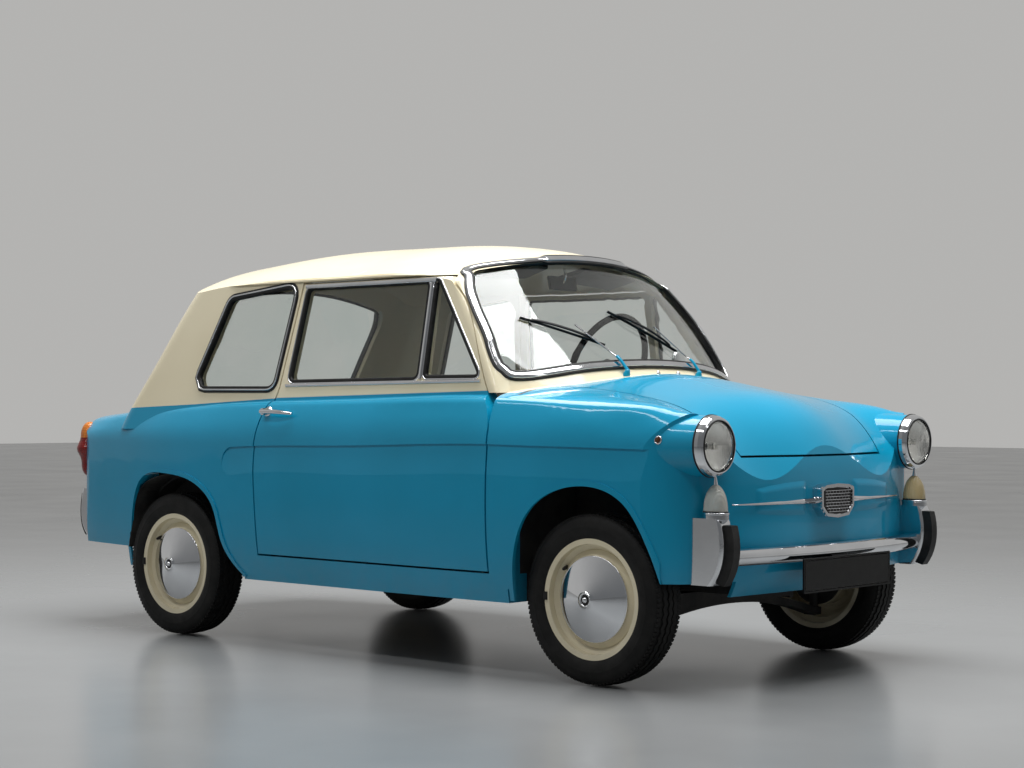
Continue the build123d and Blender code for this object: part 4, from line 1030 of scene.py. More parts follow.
def lens(name, side, rings=30, steps=96, thick=0.003):
    """A fluted glass: a front with waves, a smooth back and a closed rim."""
    bm = bmesh.new()
    layers = []
    for back in (False, True):
        rows = []
        for i in range(rings + 1):
            radius = DOME[-1][1] * i / rings
            row = []
            for k in range(1 if i == 0 else steps):
                y = radius * math.cos(2 * math.pi * k / steps)
                z = radius * math.sin(2 * math.pi * k / steps)
                fade = min(1.0, max(0.0, (0.061 - radius) / 0.006))
                wave = 0.0 if back else 0.0004 * fade * math.sin(2 * math.pi * y / FLUTE)
                out = dome_at(radius) + wave - (thick if back else 0)
                row.append(bm.verts.new((LAMP.x + out, side * LAMP.y + y, LAMP.z + z)))
            rows.append(row)
        for a, b in zip(rows, rows[1:]):
            for k in range(steps):
                ring = [a[k % len(a)], a[(k + 1) % len(a)], b[(k + 1) % steps], b[k]]
                bm.faces.new([v for j, v in enumerate(ring) if v not in ring[:j]])
        layers.append(rows[-1])
    for k in range(steps):
        bm.faces.new((layers[0][k], layers[0][(k + 1) % steps], layers[1][(k + 1) % steps], layers[1][k]))
    return closed_form(name, bm, finish["lens_glass"])


finish["lens_glass"] = lamp_lens("lens_glass", (0.97, 0.96, 0.92, 1), through=1.0, rough=(0.0, 0.02))
lenses = only_one("headlamp_glasses", [lens("glass_right", -1), lens("glass_left", 1)])
fix(lenses, "body")
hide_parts("headlamp_lenses")
BOWL = [(0.0165, 0.0655), (0.012, 0.058), (0.0065, 0.044), (0.0035, 0.026), (0.0028, 0.012), (0.0028, 0)]
BULB = [(0.0030, 0), (0.0030, 0.008), (0.007, 0.0095), (0.012, 0.0095), (0.016, 0.0065), (0.0175, 0)]
for side, sign in SIDES:
    centre = (LAMP.x, sign * LAMP.y, LAMP.z)
    lathe("lamp_bowl_" + side, BOWL, centre, (1, 0, 0), "chrome", steps=56)
    lathe("lamp_bulb_" + side, BULB, centre, (1, 0, 0), "lens_glass", steps=24)
    lathe("lamp_gasket_" + side, [(-0.001, 0.0835), (-0.001, 0.0865), (0.0035, 0.0858), (0.0035, 0.0835),
                                  (-0.001, 0.0835)], centre, (1, 0, 0), "seal_rubber", steps=64)
    # A thin black ring between the chrome rim and the glass: painted shade for the dark gap between them.
    lathe("lamp_gap_shade_ring_" + side, [(0.0240, 0.0672), (0.0272, 0.0678), (0.0284, 0.0692), (0.0276, 0.0708),
                                (0.0240, 0.0712), (0.0240, 0.0672)], centre, (1, 0, 0), "seal_rubber", steps=64)
print("lamp glass faces:", len(lenses.data.polygons))

# %% Turn lamp feet and seals
def hoop(name, x, y, z, long, wide, look_name, width, height, steps=48):
    """A flat oval bead about an upright axis."""
    points, outs = [], []
    for k in range(steps):
        a = 2 * math.pi * k / steps
        points.append(Vector((x + long * math.cos(a), y + wide * math.sin(a), z)))
        outs.append(Vector((math.cos(a) / long, math.sin(a) / wide, 0)).normalized())
    return bead(name, [(points, outs, True)], width, height, look_name)


for side, sign in SIDES:
    hoop("turn_lamp_foot_" + side, 1.405, sign * 0.517, 0.4925, 0.0385, 0.0285, "chrome", 0.007, 0.005)
    hoop("turn_lamp_seal_" + side, 1.405, sign * 0.517, 0.4975, 0.0365, 0.0265, "seal_rubber", 0.004, 0.003)

# %% [markdown]
# ## Sheets that follow a panel
#
# A pressed relief in the nose, a door's inner card and a rubber mat are all thin
# sheets that follow something else. A grid of rays finds the panel, and a height
# for each point of the grid gives the relief. The sheet's edge lies just under
# the panel, so a relief grows out of the paint with no seam.

# %% A sheet laid on a surface
def sheet_on(name, target, rows, direction, height, thick, look_name, body="body"):
    """rows are lists of flat points; height(u, v) is the lift at each, from 0 to 1 across."""
    way = Vector(direction)
    count_u, count_v = len(rows), len(rows[0])
    bm = bmesh.new()
    front, back = [], []
    for i, row in enumerate(rows):
        front.append([])
        back.append([])
        for j, point in enumerate(row):
            place, out = land(target, Vector(point) - way * 1.7, way)
            if place is None:
                place, out = Vector(point), -way
            lift = height(i / (count_u - 1), j / (count_v - 1))
            front[-1].append(bm.verts.new(place + out * lift))
            back[-1].append(bm.verts.new(place + out * (min(lift, 0) - thick)))
    for i in range(count_u - 1):
        for j in range(count_v - 1):
            bm.faces.new((front[i][j], front[i + 1][j], front[i + 1][j + 1], front[i][j + 1]))
            bm.faces.new((back[i][j], back[i][j + 1], back[i + 1][j + 1], back[i + 1][j]))
    rim = ([(i, 0) for i in range(count_u)] + [(count_u - 1, j) for j in range(1, count_v)]
           + [(i, count_v - 1) for i in range(count_u - 2, -1, -1)] + [(0, j) for j in range(count_v - 2, 0, -1)])
    for (a, b), (c, d) in zip(rim, rim[1:] + rim[:1]):
        bm.faces.new((front[a][b], front[c][d], back[c][d], back[a][b]))
    return fix(closed_form(name, bm, finish[look_name]), body)


def soft_step(t):
    """Rises smoothly from 0 to 1."""
    t = min(1.0, max(0.0, t))
    return t * t * (3 - 2 * t)


def plateau(u, v, edge=0.13, rise=0.0042, sunk=0.0006):
    """A low relief with soft sides whose rim is just under the panel."""
    side = min(u, 1 - u, v * 0.55, (1 - v) * 0.55) / edge
    return -sunk + (rise + sunk) * soft_step(side)


nose = surface("nose_panel", "fender_right", "fender_left")
for side, sign in SIDES:
    rows = []
    for i in range(41):
        across = 0.115 + 0.235 * i / 40
        low, high = 0.470 + 0.012 * (i / 40) ** 2, 0.578 - 0.022 * (i / 40) ** 2
        rows.append([(0, sign * across, low + (high - low) * j / 24) for j in range(25)])
    sheet_on("nose_relief_" + side, nose, rows, (-1, 0, 0), plateau, 0.0015, "body_blue")

# %% [markdown]
# ## The whiskers beside the badge
#
# A plated bar runs out from each side of the badge and thins to a point. It is a
# row of rings, each a little smaller than the one before. Rays find how far the
# nose stands back at each ring, so that the bar follows its bend.

# %% The whiskers
def drawn_bar(name, stations, look_name):
    """A bar of round section square to Y, through (x, y, z, radius)."""
    bm = bmesh.new()
    rings = [[bm.verts.new((x + r * math.cos(2 * math.pi * k / 16), y, z + r * math.sin(2 * math.pi * k / 16)))
              for k in range(16)] for x, y, z, r in stations]
    for a, b in zip(rings, rings[1:]):
        for k in range(16):
            bm.faces.new((a[k], a[(k + 1) % 16], b[(k + 1) % 16], b[k]))
    bm.faces.new(rings[0])
    bm.faces.new(rings[-1])
    bar = fix(closed_form(name, bm, finish[look_name]), "body")
    for face in bar.data.polygons:
        face.use_smooth = len(face.vertices) == 4
    return bar


MIDWAY = 0.236
WHISKER_TIP = 0.430
WHISKER_Z = 0.513
for side, sign in SIDES:
    stations = [(1.433, sign * 0.070, 0.514, 0.0104), (1.430, sign * 0.150, 0.5135, 0.0084),
                (1.427, sign * MIDWAY, WHISKER_Z, 0.0062)]
    gap = stations[-1][0] - land(nose, (1.7, sign * MIDWAY, WHISKER_Z), (-1, 0, 0))[0].x
    for k in range(1, 9):
        t = k / 8
        across = MIDWAY + (WHISKER_TIP - MIDWAY) * t
        place, out = land(nose, (1.7, sign * across, WHISKER_Z), (-1, 0, 0))
        size = 0.0062 - 0.0048 * t
        stations.append((place.x + gap + (0.006 + size - gap) * t, sign * across, WHISKER_Z - 0.001 * t, size))
    drawn_bar("whisker_end_" + side, stations, "chrome")

# %% [markdown]
# ## Badge, plate and lid
#
# The shield on the nose is plated slats over a dark backing. The plate is blank
# black enamel with a thin white line round it. Behind, each slot of the engine
# lid has a small rolled lip above it, and the lid has a plain turn handle.

# %% Badge backing, plate border and lid
BADGE = [(-0.072, 0.540), (-0.050, 0.548), (0, 0.5515), (0.050, 0.548), (0.072, 0.540), (0.071, 0.500),
         (0.049, 0.478), (0, 0.474), (-0.049, 0.478), (-0.071, 0.500)]


def slab_of(name, outline, plane_x, thick, look_name):
    """A thin upright slab facing forward from an outline of (y, z)."""
    count = len(outline)
    corners = [(plane_x, y, z) for y, z in outline] + [(plane_x - thick, y, z) for y, z in outline]
    faces = [list(range(count)), list(range(2 * count - 1, count - 1, -1))]
    faces += [(i, i + count, (i + 1) % count + count, (i + 1) % count) for i in range(count)]
    return fix(plain_mesh(name, corners, faces, finish[look_name]), "body")


BADGE_X = 1.4600
SLAT_X = BADGE_X + 0.0004
SLAT_PITCH = 0.0086
SLATS = 8
slab_of("badge_backing", BADGE, BADGE_X, 0.0030, "plate_enamel")
slats = []
for k in range(SLATS):
    z = 0.4815 + SLAT_PITCH * k
    half = 0.064 - max(0, 0.498 - z)
    slats.append([(SLAT_X, half * t, z) for t in (-1, -0.5, 0, 0.5, 1)])
    for y in [-0.056 + 0.008 * (k % 2) + 0.016 * n for n in range(8)]:
        if k < SLATS - 1 and abs(y) < half - 0.004:
            slats.append([(SLAT_X, y, z + SLAT_PITCH * t) for t in (0, 0.5, 1)])
bead("badge_slats", [facing_line(line, (1, 0, 0)) for line in slats], 0.0017, 0.0014, "chrome")
plate = surface("number_plate")
border = [Vector((0, p.x, p.y)) for p in rounded([(-0.219, 0.267), (0.219, 0.267), (0.219, 0.352), (-0.219, 0.352)],
                                                 0.006)]
bead("plate_border", [laid(plate, border, (-1, 0, 0), -0.0005, 0.02, True)], 0.0035, 0.0010, "white_enamel")
lid = surface("engine_lid")
lips = [laid(lid, [(0, y0, z + 0.006), (0, y0 + 0.196, z + 0.006)], (1, 0, 0), 0.0012, 0.014)
        for z in [0.550 + 0.020 * k for k in range(6)] for y0 in (-0.298, 0.102)]
bead("louvre_lips", lips, 0.0045, 0.0055, "body_blue", "engine_lid")
place, out = land(lid, (-1.7, 0, 0.536), (1, 0, 0))
lathe("lid_handle_rose", [(-0.002, 0), (-0.002, 0.017), (0.003, 0.016), (0.006, 0.011), (0.008, 0.008),
                          (0.0095, 0.006), (0.0095, 0)], place, out, "chrome", "engine_lid", 32)
grip = [place + out * 0.0125 + Vector((0, y, 0)) for y in (-0.030, -0.015, 0, 0.015, 0.030)]
bead("lid_handle", [facing_line(grip, out)], 0.010, 0.006, "chrome", "engine_lid")

# %% [markdown]
# ## Wipers
#
# Each wiper has a painted pivot, a thin plated arm that dips to the glass, and a
# rubber blade held by a bridge. The blade's line is thrown onto the glass, so the
# rubber touches it all the way, and the arm is a soft curve that ends on the bridge.

# %% Two wipers
WIPERS = {
    "right": ((0.826, -0.181, 0.880), (-0.190, 0.934), (-0.261, 1.018), (-0.179, 0.967), (-0.418, 1.047)),
    "left": ((0.826, 0.181, 0.880), (0.168, 0.930), (0.091, 1.022), (0.163, 0.955), (-0.070, 1.076)),
}
POST = [(-0.020, 0.012), (0.002, 0.011), (0.008, 0.0085), (0.014, 0.007), (0.016, 0.0045), (0.016, 0)]


def on_glass(flat, lift):
    """A point over the screen's glass at a place (y, z), so far out from it."""
    place, out = land(glass, (1.6, flat[0], flat[1]), (-1, 0, 0))
    return place + out * lift, out


for side, (pivot, bend, joint, low, tip) in WIPERS.items():
    foot = Vector(pivot)
    lathe("wiper_post_" + side, POST, foot, (0.35, 0, 1), "body_blue", steps=24)
    blade = [on_glass(Vector(low).lerp(Vector(tip), k / 16), 0.0045) for k in range(17)]
    bead("wiper_blade_" + side, [pairs_line(blade)], 0.0055, 0.009, "seal_rubber")
    bridge = [on_glass(Vector(low).lerp(Vector(tip), 0.12 + 0.76 * k / 12),
                       0.010 + 0.009 * math.sin(math.pi * k / 12) ** 0.7) for k in range(13)]
    bead("wiper_bridge_" + side, [pairs_line(bridge)], 0.009, 0.006, "seal_rubber")
    start = foot + Vector((0.004, 0, 0.012))
    over, out = on_glass(bend, 0.020)
    end, _ = on_glass(joint, 0.021)
    arm = smooth_line([start, start.lerp(over, 0.6) + Vector((0.004, 0, 0.004)), over, over.lerp(end, 0.5), end], 6)
    bead("wiper_arm_" + side, [facing_line(arm, out)], 0.0065, 0.0035, "chrome")
    bead("wiper_shoe_" + side, [facing_line(arm[:9], out)], 0.0105, 0.008, "body_blue")
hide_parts("wipers")
JET = [(-0.003, 0), (-0.003, 0.0075), (0.002, 0.007), (0.005, 0.005), (0.008, 0.004), (0.009, 0.0025), (0.009, 0)]
scuttle = surface("greenhouse", "bonnet", "fender_right", "fender_left")
for side, sign in SIDES:
    place, out = land(scuttle, (0.845, sign * 0.050, 1.6), (0, 0, -1))
    lathe("washer_jet_" + side, JET, place, out, "chrome", "body", 20)

# %% [markdown]
# ## Seats
#
# A seat cushion is a closed cover pulled tight over a stuffing. A block with
# round edges is remeshed evenly and blown up a little as cloth, with its base and
# its seams held, so the faces crown and the boxing between them bulges. Pleats
# are then pressed into the middle, and a piped welt is laid along each seam.

# %% A stuffed form
def block(length, width, thick, voxel=0.011):
    """A block with round edges and an even mesh, its base centred on the origin."""
    bm = bmesh.new()
    bmesh.ops.create_cube(bm, size=1)
    bm.transform(Matrix.Translation((0, 0, thick / 2)) @ Matrix.Diagonal((length, width, thick, 1)))
    bmesh.ops.bevel(bm, geom=bm.edges[:], offset=0.3 * thick, segments=4, profile=0.5, affect="EDGES")
    mesh = bpy.data.meshes.new("block")
    bm.to_mesh(mesh)
    bm.free()
    source = linked("block", mesh)
    remesh = source.modifiers.new("even", "REMESH")
    remesh.mode = "VOXEL"
    remesh.voxel_size = voxel
    graph = bpy.context.evaluated_depsgraph_get()
    even = bpy.data.meshes.new_from_object(source.evaluated_get(graph), depsgraph=graph)
    bpy.data.objects.remove(source)
    return linked("pad", even)


def stuffed(obj, seam, cap=0.014, pressure=4.0):
    """Blows the cover up as cloth; the base and the seam's height are held, and each point's way is capped."""
    mesh = obj.data
    held = obj.vertex_groups.new(name="held")
    thick = max(v.co.z for v in mesh.vertices)
    for v in mesh.vertices:
        near = abs(v.co.z - seam * thick) < 0.006
        held.add([v.index], 1.0 if v.co.z < 0.006 else (0.85 if near else 0.0), "REPLACE")
    cloth = obj.modifiers.new("cover", "CLOTH")
    cloth.settings.vertex_group_mass = "held"
    cloth.settings.use_pressure = True
    cloth.settings.uniform_pressure_force = pressure
    cloth.settings.effector_weights.gravity = 0
    cloth.settings.tension_stiffness = 12
    cloth.settings.bending_stiffness = 1.5
    for frame_number in range(1, 21):
        bpy.context.scene.frame_set(frame_number)
    graph = bpy.context.evaluated_depsgraph_get()
    blown = [v.co.copy() for v in obj.evaluated_get(graph).data.vertices]
    obj.modifiers.remove(cloth)
    bpy.context.scene.frame_set(1)
    for v, place in zip(mesh.vertices, blown):
        way = place - v.co
        v.co += way * min(1.0, cap / max(way.length, 1e-6))


def pad(name, length, width, thick, pleats, place, seam=0.70, look_name="seat_hide"):
    """A pleated pad with welts: its base plane is placed by a matrix, pleats run along its own X."""
    obj = block(length, width, thick)
    stuffed(obj, seam)
    divide = obj.modifiers.new("fine", "SUBSURF")
    divide.levels = divide.render_levels = 1
    graph = bpy.context.evaluated_depsgraph_get()
    mesh = bpy.data.meshes.new_from_object(obj.evaluated_get(graph), depsgraph=graph)
    bpy.data.objects.remove(obj)
    panel = Vector((0.5 * length - 0.055, 0.5 * width - 0.045))
    for v in mesh.vertices:
        x, y, z = v.co
        if z > 0.8 * thick and abs(x) < panel.x + 0.01 and abs(y) < panel.y + 0.01:
            pitch = 2 * panel.y / pleats
            line = ((y + panel.y) / pitch + 0.5) % 1.0 - 0.5
            ends = soft_step((panel.x + 0.004 - abs(x)) / 0.012) * soft_step((panel.y + 0.010 - abs(y)) / 0.010)
            rim = max(math.exp(-((abs(x) - panel.x) / 0.006) ** 2), math.exp(-((abs(y) - panel.y) / 0.006) ** 2))
            v.co.z -= 0.006 * max(ends * math.exp(-(line * pitch / 0.007) ** 2), 0.8 * rim)
    mesh.transform(place)
    mesh.name = name
    mesh.materials.clear()
    mesh.materials.append(finish[look_name])
    soft_shaded(mesh)
    obj = fix(linked(name, mesh), "body")
    cover = BVHTree.FromPolygons([v.co for v in mesh.vertices], [list(f.vertices) for f in mesh.polygons])
    half = Vector((length / 2, width / 2))
    ring = evened(rounded([(-half.x, -half.y), (half.x, -half.y), (half.x, half.y), (-half.x, half.y)],
                          0.5 * thick), 0.012)
    points, outs = [], []
    for i, flat in enumerate(ring):
        along = ring[(i + 1) % len(ring)] - ring[i - 1]
        away = Vector((along.y, -along.x, 0)).normalized()
        start = place @ (Vector((flat.x, flat.y, seam * thick)) + away * 0.1)
        spot, out = land(cover, start, place.to_3x3() @ -away)
        if spot is not None:
            points.append(spot)
            outs.append(out)
    bead(name + "_welt", [(points, outs, True)], 0.007, 0.007, "trim_hide", corner=0.5)
    return obj


def seat_place(x, y, z, tilt):
    """Where a pad's base goes: tilt turns it back about Y, in degrees, from lying flat."""
    return Matrix.Translation((x, y, z)) @ Matrix.Rotation(math.radians(-tilt), 4, "Y")


for side, sign in SIDES:
    pad("seat_cushion_" + side, 0.450, 0.450, 0.112, 7, seat_place(0.215, sign * 0.300, 0.344, 4))
    pad("seat_back_" + side, 0.450, 0.440, 0.075, 7, seat_place(-0.082, sign * 0.300, 0.640, -106) @
        Matrix.Rotation(math.pi, 4, "Z"))
pad("bench_cushion", 0.320, 0.870, 0.085, 12, seat_place(-0.620, 0, 0.412, 3))
pad("bench_back", 0.330, 0.850, 0.070, 12, seat_place(-0.800, 0, 0.640, -106) @ Matrix.Rotation(math.pi, 4, "Z"))
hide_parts("seats")

# %% Seat frames
def tube(name, lines, size, look_name, body="body"):
    """Round tube along open lines of points."""
    runs = []
    for points in lines:
        line = smooth_line(points, 6) if len(points) > 2 else [Vector(p) for p in points]
        along = (line[-1] - line[0]).normalized()
        side = along.orthogonal().normalized()
        runs.append((line, [side] * len(line), False))
    return bead(name, runs, size, size, look_name, body, 0.5)


for side, sign in SIDES:
    runners = []
    for y in (sign * 0.300 - 0.185, sign * 0.300 + 0.185):
        runners.append([(-0.005, y, 0.335), (0.005, y, 0.268), (0.060, y, 0.253), (0.340, y, 0.253),
                        (0.395, y, 0.268), (0.405, y, 0.335)])
        runners.append([(0.010, y, 0.345), (-0.030, y, 0.430), (-0.095, y, 0.640), (-0.120, y, 0.800)])
    runners.append([(0.200, sign * 0.300 - 0.185, 0.262), (0.200, sign * 0.300 + 0.185, 0.262)])
    tube("seat_frame_" + side, runners, 0.018, "white_enamel")

# %% [markdown]
# ## Dashboard and controls
#
# The dashboard is a plain painted shelf with one round dial ahead of the driver,
# a row of knobs, and two thin stalks on the column. The dial has ticks and a
# needle, but no words or numbers.

# %% Dial, knobs and stalks
finish["dial_cream"] = rubber("dial_cream", (0.62, 0.58, 0.48, 1), (0.70, 0.66, 0.55, 1), 0.35, 90)
DIAL = Vector((0.6175, 0.300, 0.822))
FACING = Vector((-1, 0, 0.2)).normalized()
UP = Vector((0.2, 0, 1)).normalized()
lathe("dial_face", [(-0.004, 0.036), (0.0008, 0.036), (0.0008, 0)], DIAL, FACING, "dial_cream", steps=48)
lathe("dial_ring", [(-0.004, 0.0365), (-0.004, 0.0410), (0.0045, 0.0405), (0.0065, 0.0385), (0.0045, 0.0365),
                    (-0.004, 0.0365)], DIAL, FACING, "chrome", steps=56)
lathe("dial_glass", [(0.0032, 0.0367), (0.0044, 0.0300), (0.0050, 0.0150), (0.0052, 0)], DIAL, FACING, "lens_glass",
      steps=48)
across = Vector((0, 1, 0))
ticks = []
for k in range(25):
    a = math.radians(-30 + 240 * k / 24)
    way = across * math.cos(a) + UP * math.sin(a)
    inner = 0.027 if k % 4 == 0 else 0.0295
    base = DIAL + FACING * 0.0011
    ticks.append(facing_line([base + way * inner, base + way * 0.033], FACING))
bead("dial_ticks", ticks, 0.0011, 0.0006, "plate_enamel")
needle = across * math.cos(math.radians(205)) + UP * math.sin(math.radians(205))
base = DIAL + FACING * 0.0022
bead("dial_needle", [facing_line([base - needle * 0.007, base + needle * 0.029], FACING)], 0.0016, 0.0008,
     "marker_glass")
lathe("dial_hub", [(0.001, 0), (0.001, 0.0035), (0.0030, 0.0032), (0.0030, 0)], DIAL, FACING, "chrome", steps=20)
shelf = surface("dashboard")
KNOB = [(-0.003, 0), (-0.003, 0.0040), (0.010, 0.0040), (0.012, 0.0085), (0.018, 0.0100), (0.024, 0.0085),
        (0.026, 0.004), (0.0265, 0)]
for k, y in enumerate((0.105, 0.065, 0.025, -0.025, -0.065)):
    place, out = land(shelf, (0.3, y, 0.742), (1, 0, 0))
    lathe("dash_knob_%d" % k, KNOB, place, out, "seal_rubber", steps=20)
LOCK = [(-0.003, 0), (-0.003, 0.011), (0.002, 0.011), (0.004, 0.009), (0.004, 0.005), (0.003, 0.0045), (0.003, 0)]
place, out = land(shelf, (0.3, 0.145, 0.742), (1, 0, 0))
lathe("ignition_lock", LOCK, place, out, "chrome", steps=20)
bead("dash_strip", [laid(shelf, [(0, -0.470, 0.776), (0, 0.175, 0.776)], (1, 0, 0), 0.0015, 0.02)], 0.012, 0.004,
     "chrome")
rim = laid(shelf, [(0, -0.420, 0.742), (0, -0.200, 0.742)], (1, 0, 0), 0.0015, 0.02)
bead("glovebox_rim", [rim], 0.026, 0.005, "trim_hide")
AXIS = Vector((-0.55, 0, 0.2)).normalized()
HUB = Vector((0.355, 0.300, 0.905))
for side, sign in SIDES:
    root = HUB - AXIS * 0.075
    tip = root + Vector((-0.012, sign * 0.150, 0.020))
    tube("stalk_" + side, [[root, root.lerp(tip, 0.5) + Vector((0, 0, 0.003)), tip]], 0.0065, "chrome")
    lathe("stalk_knob_" + side, [(-0.004, 0), (-0.002, 0.0055), (0.006, 0.0075), (0.014, 0.0055), (0.016, 0)], tip,
          (0, sign, 0.1), "seal_rubber", steps=20)
lathe("horn_ring", [(0.0235, 0.0200), (0.0275, 0.0225), (0.0300, 0.0200), (0.0275, 0.0175), (0.0235, 0.0200)],
      HUB, AXIS, "chrome", "steering_wheel", 40)
lathe("horn_button", [(0.0245, 0.0190), (0.0285, 0.0165), (0.0310, 0.0090), (0.0318, 0)], HUB, AXIS, "dial_cream",
      "steering_wheel", 40)

# %% Inside mirror, visors, levers and pedals
def bar(name, start, end, away, width, height, look_name, body="body", corner=0.45):
    """A straight piece with a rounded rectangular section."""
    count = 9
    line = [Vector(start).lerp(Vector(end), k / (count - 1)) for k in range(count)]
    return bead(name, [facing_line(line, Vector(away).normalized())], width, height, look_name, body, corner)


bar("inside_mirror_shell", (0.412, -0.064, 1.178), (0.412, 0.064, 1.178), (-1, 0, -0.2), 0.046, 0.012, "seal_rubber")
bar("inside_mirror_glass", (0.4055, -0.060, 1.1765), (0.4055, 0.060, 1.1765), (-1, 0, -0.2), 0.039, 0.003, "chrome",
    corner=0.3)
tube("inside_mirror_stem", [[(0.416, 0, 1.180), (0.424, 0, 1.200), (0.420, 0, 1.226)]], 0.009, "chrome")
for side, sign in SIDES:
    bar("visor_" + side, (0.372, sign * 0.085, 1.214), (0.352, sign * 0.375, 1.196), (0.25, 0, -1), 0.115, 0.014,
        "trim_hide")
floor_top = surface("floor_pan")
place, _ = land(floor_top, (0.40, 0, 0.9), (0, 0, -1))
base = Vector((0.40, 0, place.z))
lathe("gear_boot", [(-0.004, 0.050), (0.006, 0.046), (0.018, 0.030), (0.026, 0.026), (0.034, 0.016), (0.040, 0.009),
                    (0.040, 0)], base, (0, 0, 1), "seal_rubber", steps=32)
tube("gear_lever", [[base + Vector((0, 0, 0.03)), base + Vector((0.004, 0, 0.14)), base + Vector((-0.020, 0, 0.27))]],
     0.011, "chrome")
lathe("gear_knob", [(-0.014, 0.006), (-0.008, 0.013), (0.002, 0.018), (0.012, 0.0165), (0.020, 0.009), (0.022, 0)],
      base + Vector((-0.020, 0, 0.275)), (-0.05, 0, 1), "seal_rubber", steps=28)
place, _ = land(floor_top, (0.10, 0, 0.9), (0, 0, -1))
brake = Vector((0.10, 0, place.z))
tube("handbrake", [[brake + Vector((0.02, 0, 0)), brake + Vector((0.09, 0, 0.05)),
                    brake + Vector((0.20, 0, 0.105))]], 0.014, "chrome")
tube("handbrake_grip", [[brake + Vector((0.19, 0, 0.100)), brake + Vector((0.30, 0, 0.150))]], 0.024, "seal_rubber")
PEDAL_X = 0.655
for k, (y, wide) in enumerate(((0.330, 0.050), (0.245, 0.050), (0.160, 0.042))):
    tube("pedal_arm_%d" % k, [[(0.735, y, 0.420), (0.700, y, 0.360), (PEDAL_X, y, 0.330)]], 0.011, "underseal")
    ends = [(PEDAL_X - 0.002, y + wide * half, 0.327) for half in (-0.5, 0.5)]
    bar("pedal_pad_%d" % k, *ends, (-1, 0, 0.7), 0.062, 0.010, "seal_rubber")

# %% [markdown]
# ## Mats and door cards
#
# The floor mats are rubber sheets with ribs, and each door has a card of trim
# hide with an armrest, a window winder and a small lever. All of them follow the
# steel behind them, because their points are found with rays.

# %% Mats, cards, armrests and winders
def ribs(u, v):
    """Rubber ribs that fade at the mat's edge."""
    side = min(u, 1 - u, v, 1 - v) / 0.06
    return 0.003 + 0.0016 * soft_step(side) * math.sin(2 * math.pi * v * 14)


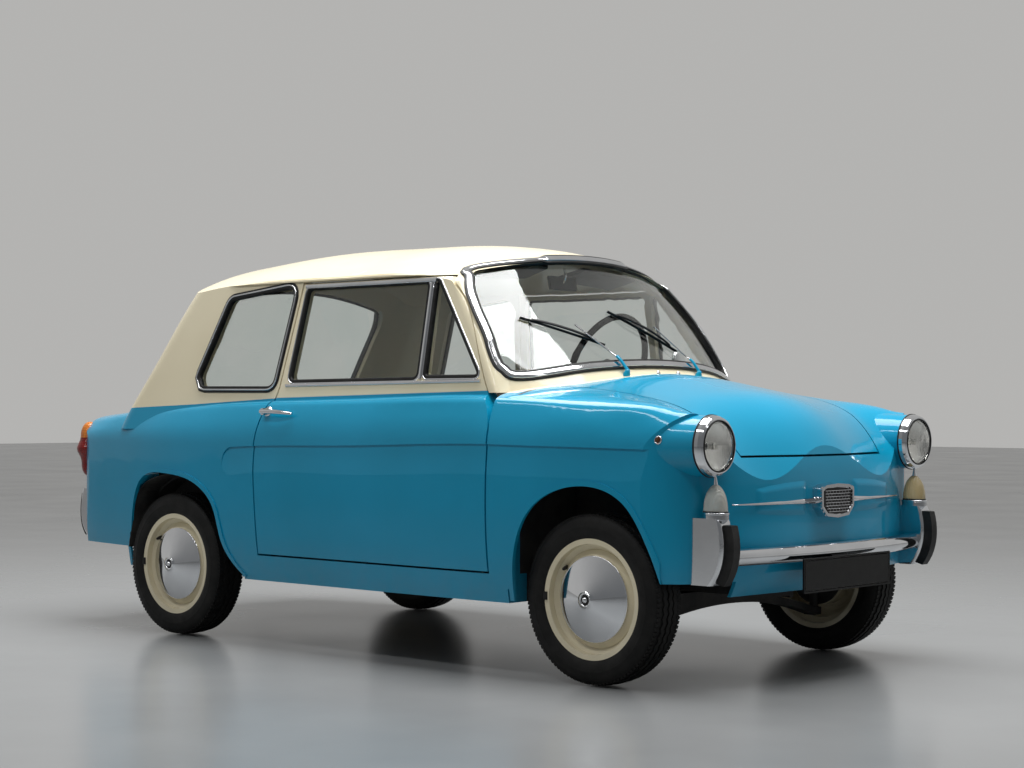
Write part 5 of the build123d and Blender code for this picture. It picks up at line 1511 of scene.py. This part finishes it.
for side, sign in SIDES:
    rows = [[(0.070 + 0.600 * i / 12, sign * (0.075 + 0.400 * j / 84), 0) for j in range(85)] for i in range(13)]
    sheet_on("front_mat_" + side, floor_top, rows, (0, 0, -1), ribs, 0.001, "seal_rubber")
    rows = [[(-0.420 + 0.300 * i / 10, sign * (0.075 + 0.380 * j / 84), 0) for j in range(85)] for i in range(11)]
    sheet_on("rear_mat_" + side, floor_top, rows, (0, 0, -1), ribs, 0.001, "seal_rubber")

    door = "door_" + side
    skin = surface(door)
    outward = (0, sign, 0)

    def card(u, v):
        """A soft card whose edge is tucked in, with a pressed line near its top."""
        edge = min(u, 1 - u, v, 1 - v) / 0.04
        line = math.exp(-((v - 0.78) / 0.012) ** 2)
        return -0.0005 + 0.0045 * soft_step(edge) - 0.0028 * line

    rows = [[(-0.235 + 0.830 * i / 60, 0, 0.360 + 0.440 * j / 48) for j in range(49)] for i in range(61)]
    sheet_on("door_card_" + side, skin, rows, outward, card, 0.0012, "seat_hide", door)
    place, out = land(skin, (0.060, 0, 0.640), outward)
    rest = [place + out * 0.022 + Vector((0.140 * (k / 8 - 0.5) * 2, 0, 0.006 * math.sin(math.pi * k / 8)))
            for k in range(9)]
    bead("armrest_" + side, [facing_line(rest, out)], 0.036, 0.040, "trim_hide", door, 0.5)
    place, out = land(skin, (0.330, 0, 0.620), outward)
    lathe("winder_hub_" + side, [(0, 0.020), (0.004, 0.019), (0.008, 0.011), (0.018, 0.009), (0.020, 0)], place, out,
          "chrome", door, 28)
    tip = place + out * 0.018 + Vector((-0.055, 0, -0.060))
    tube("winder_arm_" + side, [[place + out * 0.016, tip]], 0.009, "chrome", door)
    lathe("winder_knob_" + side, [(-0.004, 0), (-0.003, 0.006), (0.006, 0.008), (0.018, 0.0095), (0.024, 0.007),
                                  (0.025, 0)], tip, out, "seal_rubber", door, 20)
    place, out = land(skin, (-0.130, 0, 0.700), outward)
    lathe("lever_rose_" + side, [(0, 0.016), (0.003, 0.015), (0.007, 0.009), (0.014, 0.008), (0.015, 0)], place, out,
          "chrome", door, 24)
    tube("door_lever_" + side, [[place + out * 0.012, place + out * 0.018 + Vector((0.085, 0, -0.006))]], 0.009,
         "chrome", door)

# %% [markdown]
# ## Small outside pieces
#
# The last touches are the driver's round mirror, the bolts that hold the plate
# and the exhaust's tail pipe.

# %% Mirror, bolts and tail pipe
place, out = land(surface("door_left"), (0.430, 1.5, 0.846), (0, -1, 0))
mirror_at = Vector((0.405, 0.630, 0.938))
lathe("mirror_foot", [(-0.003, 0.014), (0.002, 0.0135), (0.006, 0.009), (0.008, 0.006), (0.008, 0)],
      place, out, "chrome", "door_left", 24)
tube("mirror_stem", [[place + out * 0.004, place.lerp(mirror_at, 0.4) + Vector((0, 0.010, 0)), mirror_at]], 0.0075,
     "chrome", "door_left")
lathe("mirror_shell", [(0, 0.040), (-0.002, 0.0425), (-0.006, 0.0420), (-0.013, 0.034), (-0.018, 0.020),
                       (-0.020, 0)], mirror_at, (-1, -0.10, 0), "chrome", "door_left", 48)
lathe("mirror_glass", [(0.0, 0.0402), (0.0005, 0.030), (0.0008, 0)], mirror_at, (-1, -0.10, 0), "chrome", "door_left",
      48)
NUT = [(-0.001, 0.0065), (0.0015, 0.0062), (0.0032, 0.0045), (0.0038, 0)]
for side, sign in SIDES:
    place, out = land(plate, (1.7, sign * 0.150, 0.334), (-1, 0, 0))
    lathe("plate_bolt_" + side, NUT, place - Vector((0.0045, 0, 0)), out, "chrome", "body", 20)
tube("tail_pipe", [[(-1.180, 0.300, 0.262), (-1.300, 0.310, 0.250), (-1.400, 0.312, 0.240), (-1.462, 0.312, 0.236)]],
     0.034, "underseal")
lathe("tail_pipe_mouth", [(-0.030, 0.0185), (0.004, 0.0185), (0.006, 0.0165), (0.004, 0.0145), (-0.028, 0.0145),
                          (-0.030, 0.0185)], (-1.466, 0.312, 0.2357), (-1, 0, -0.06), "chrome", "body", 36)
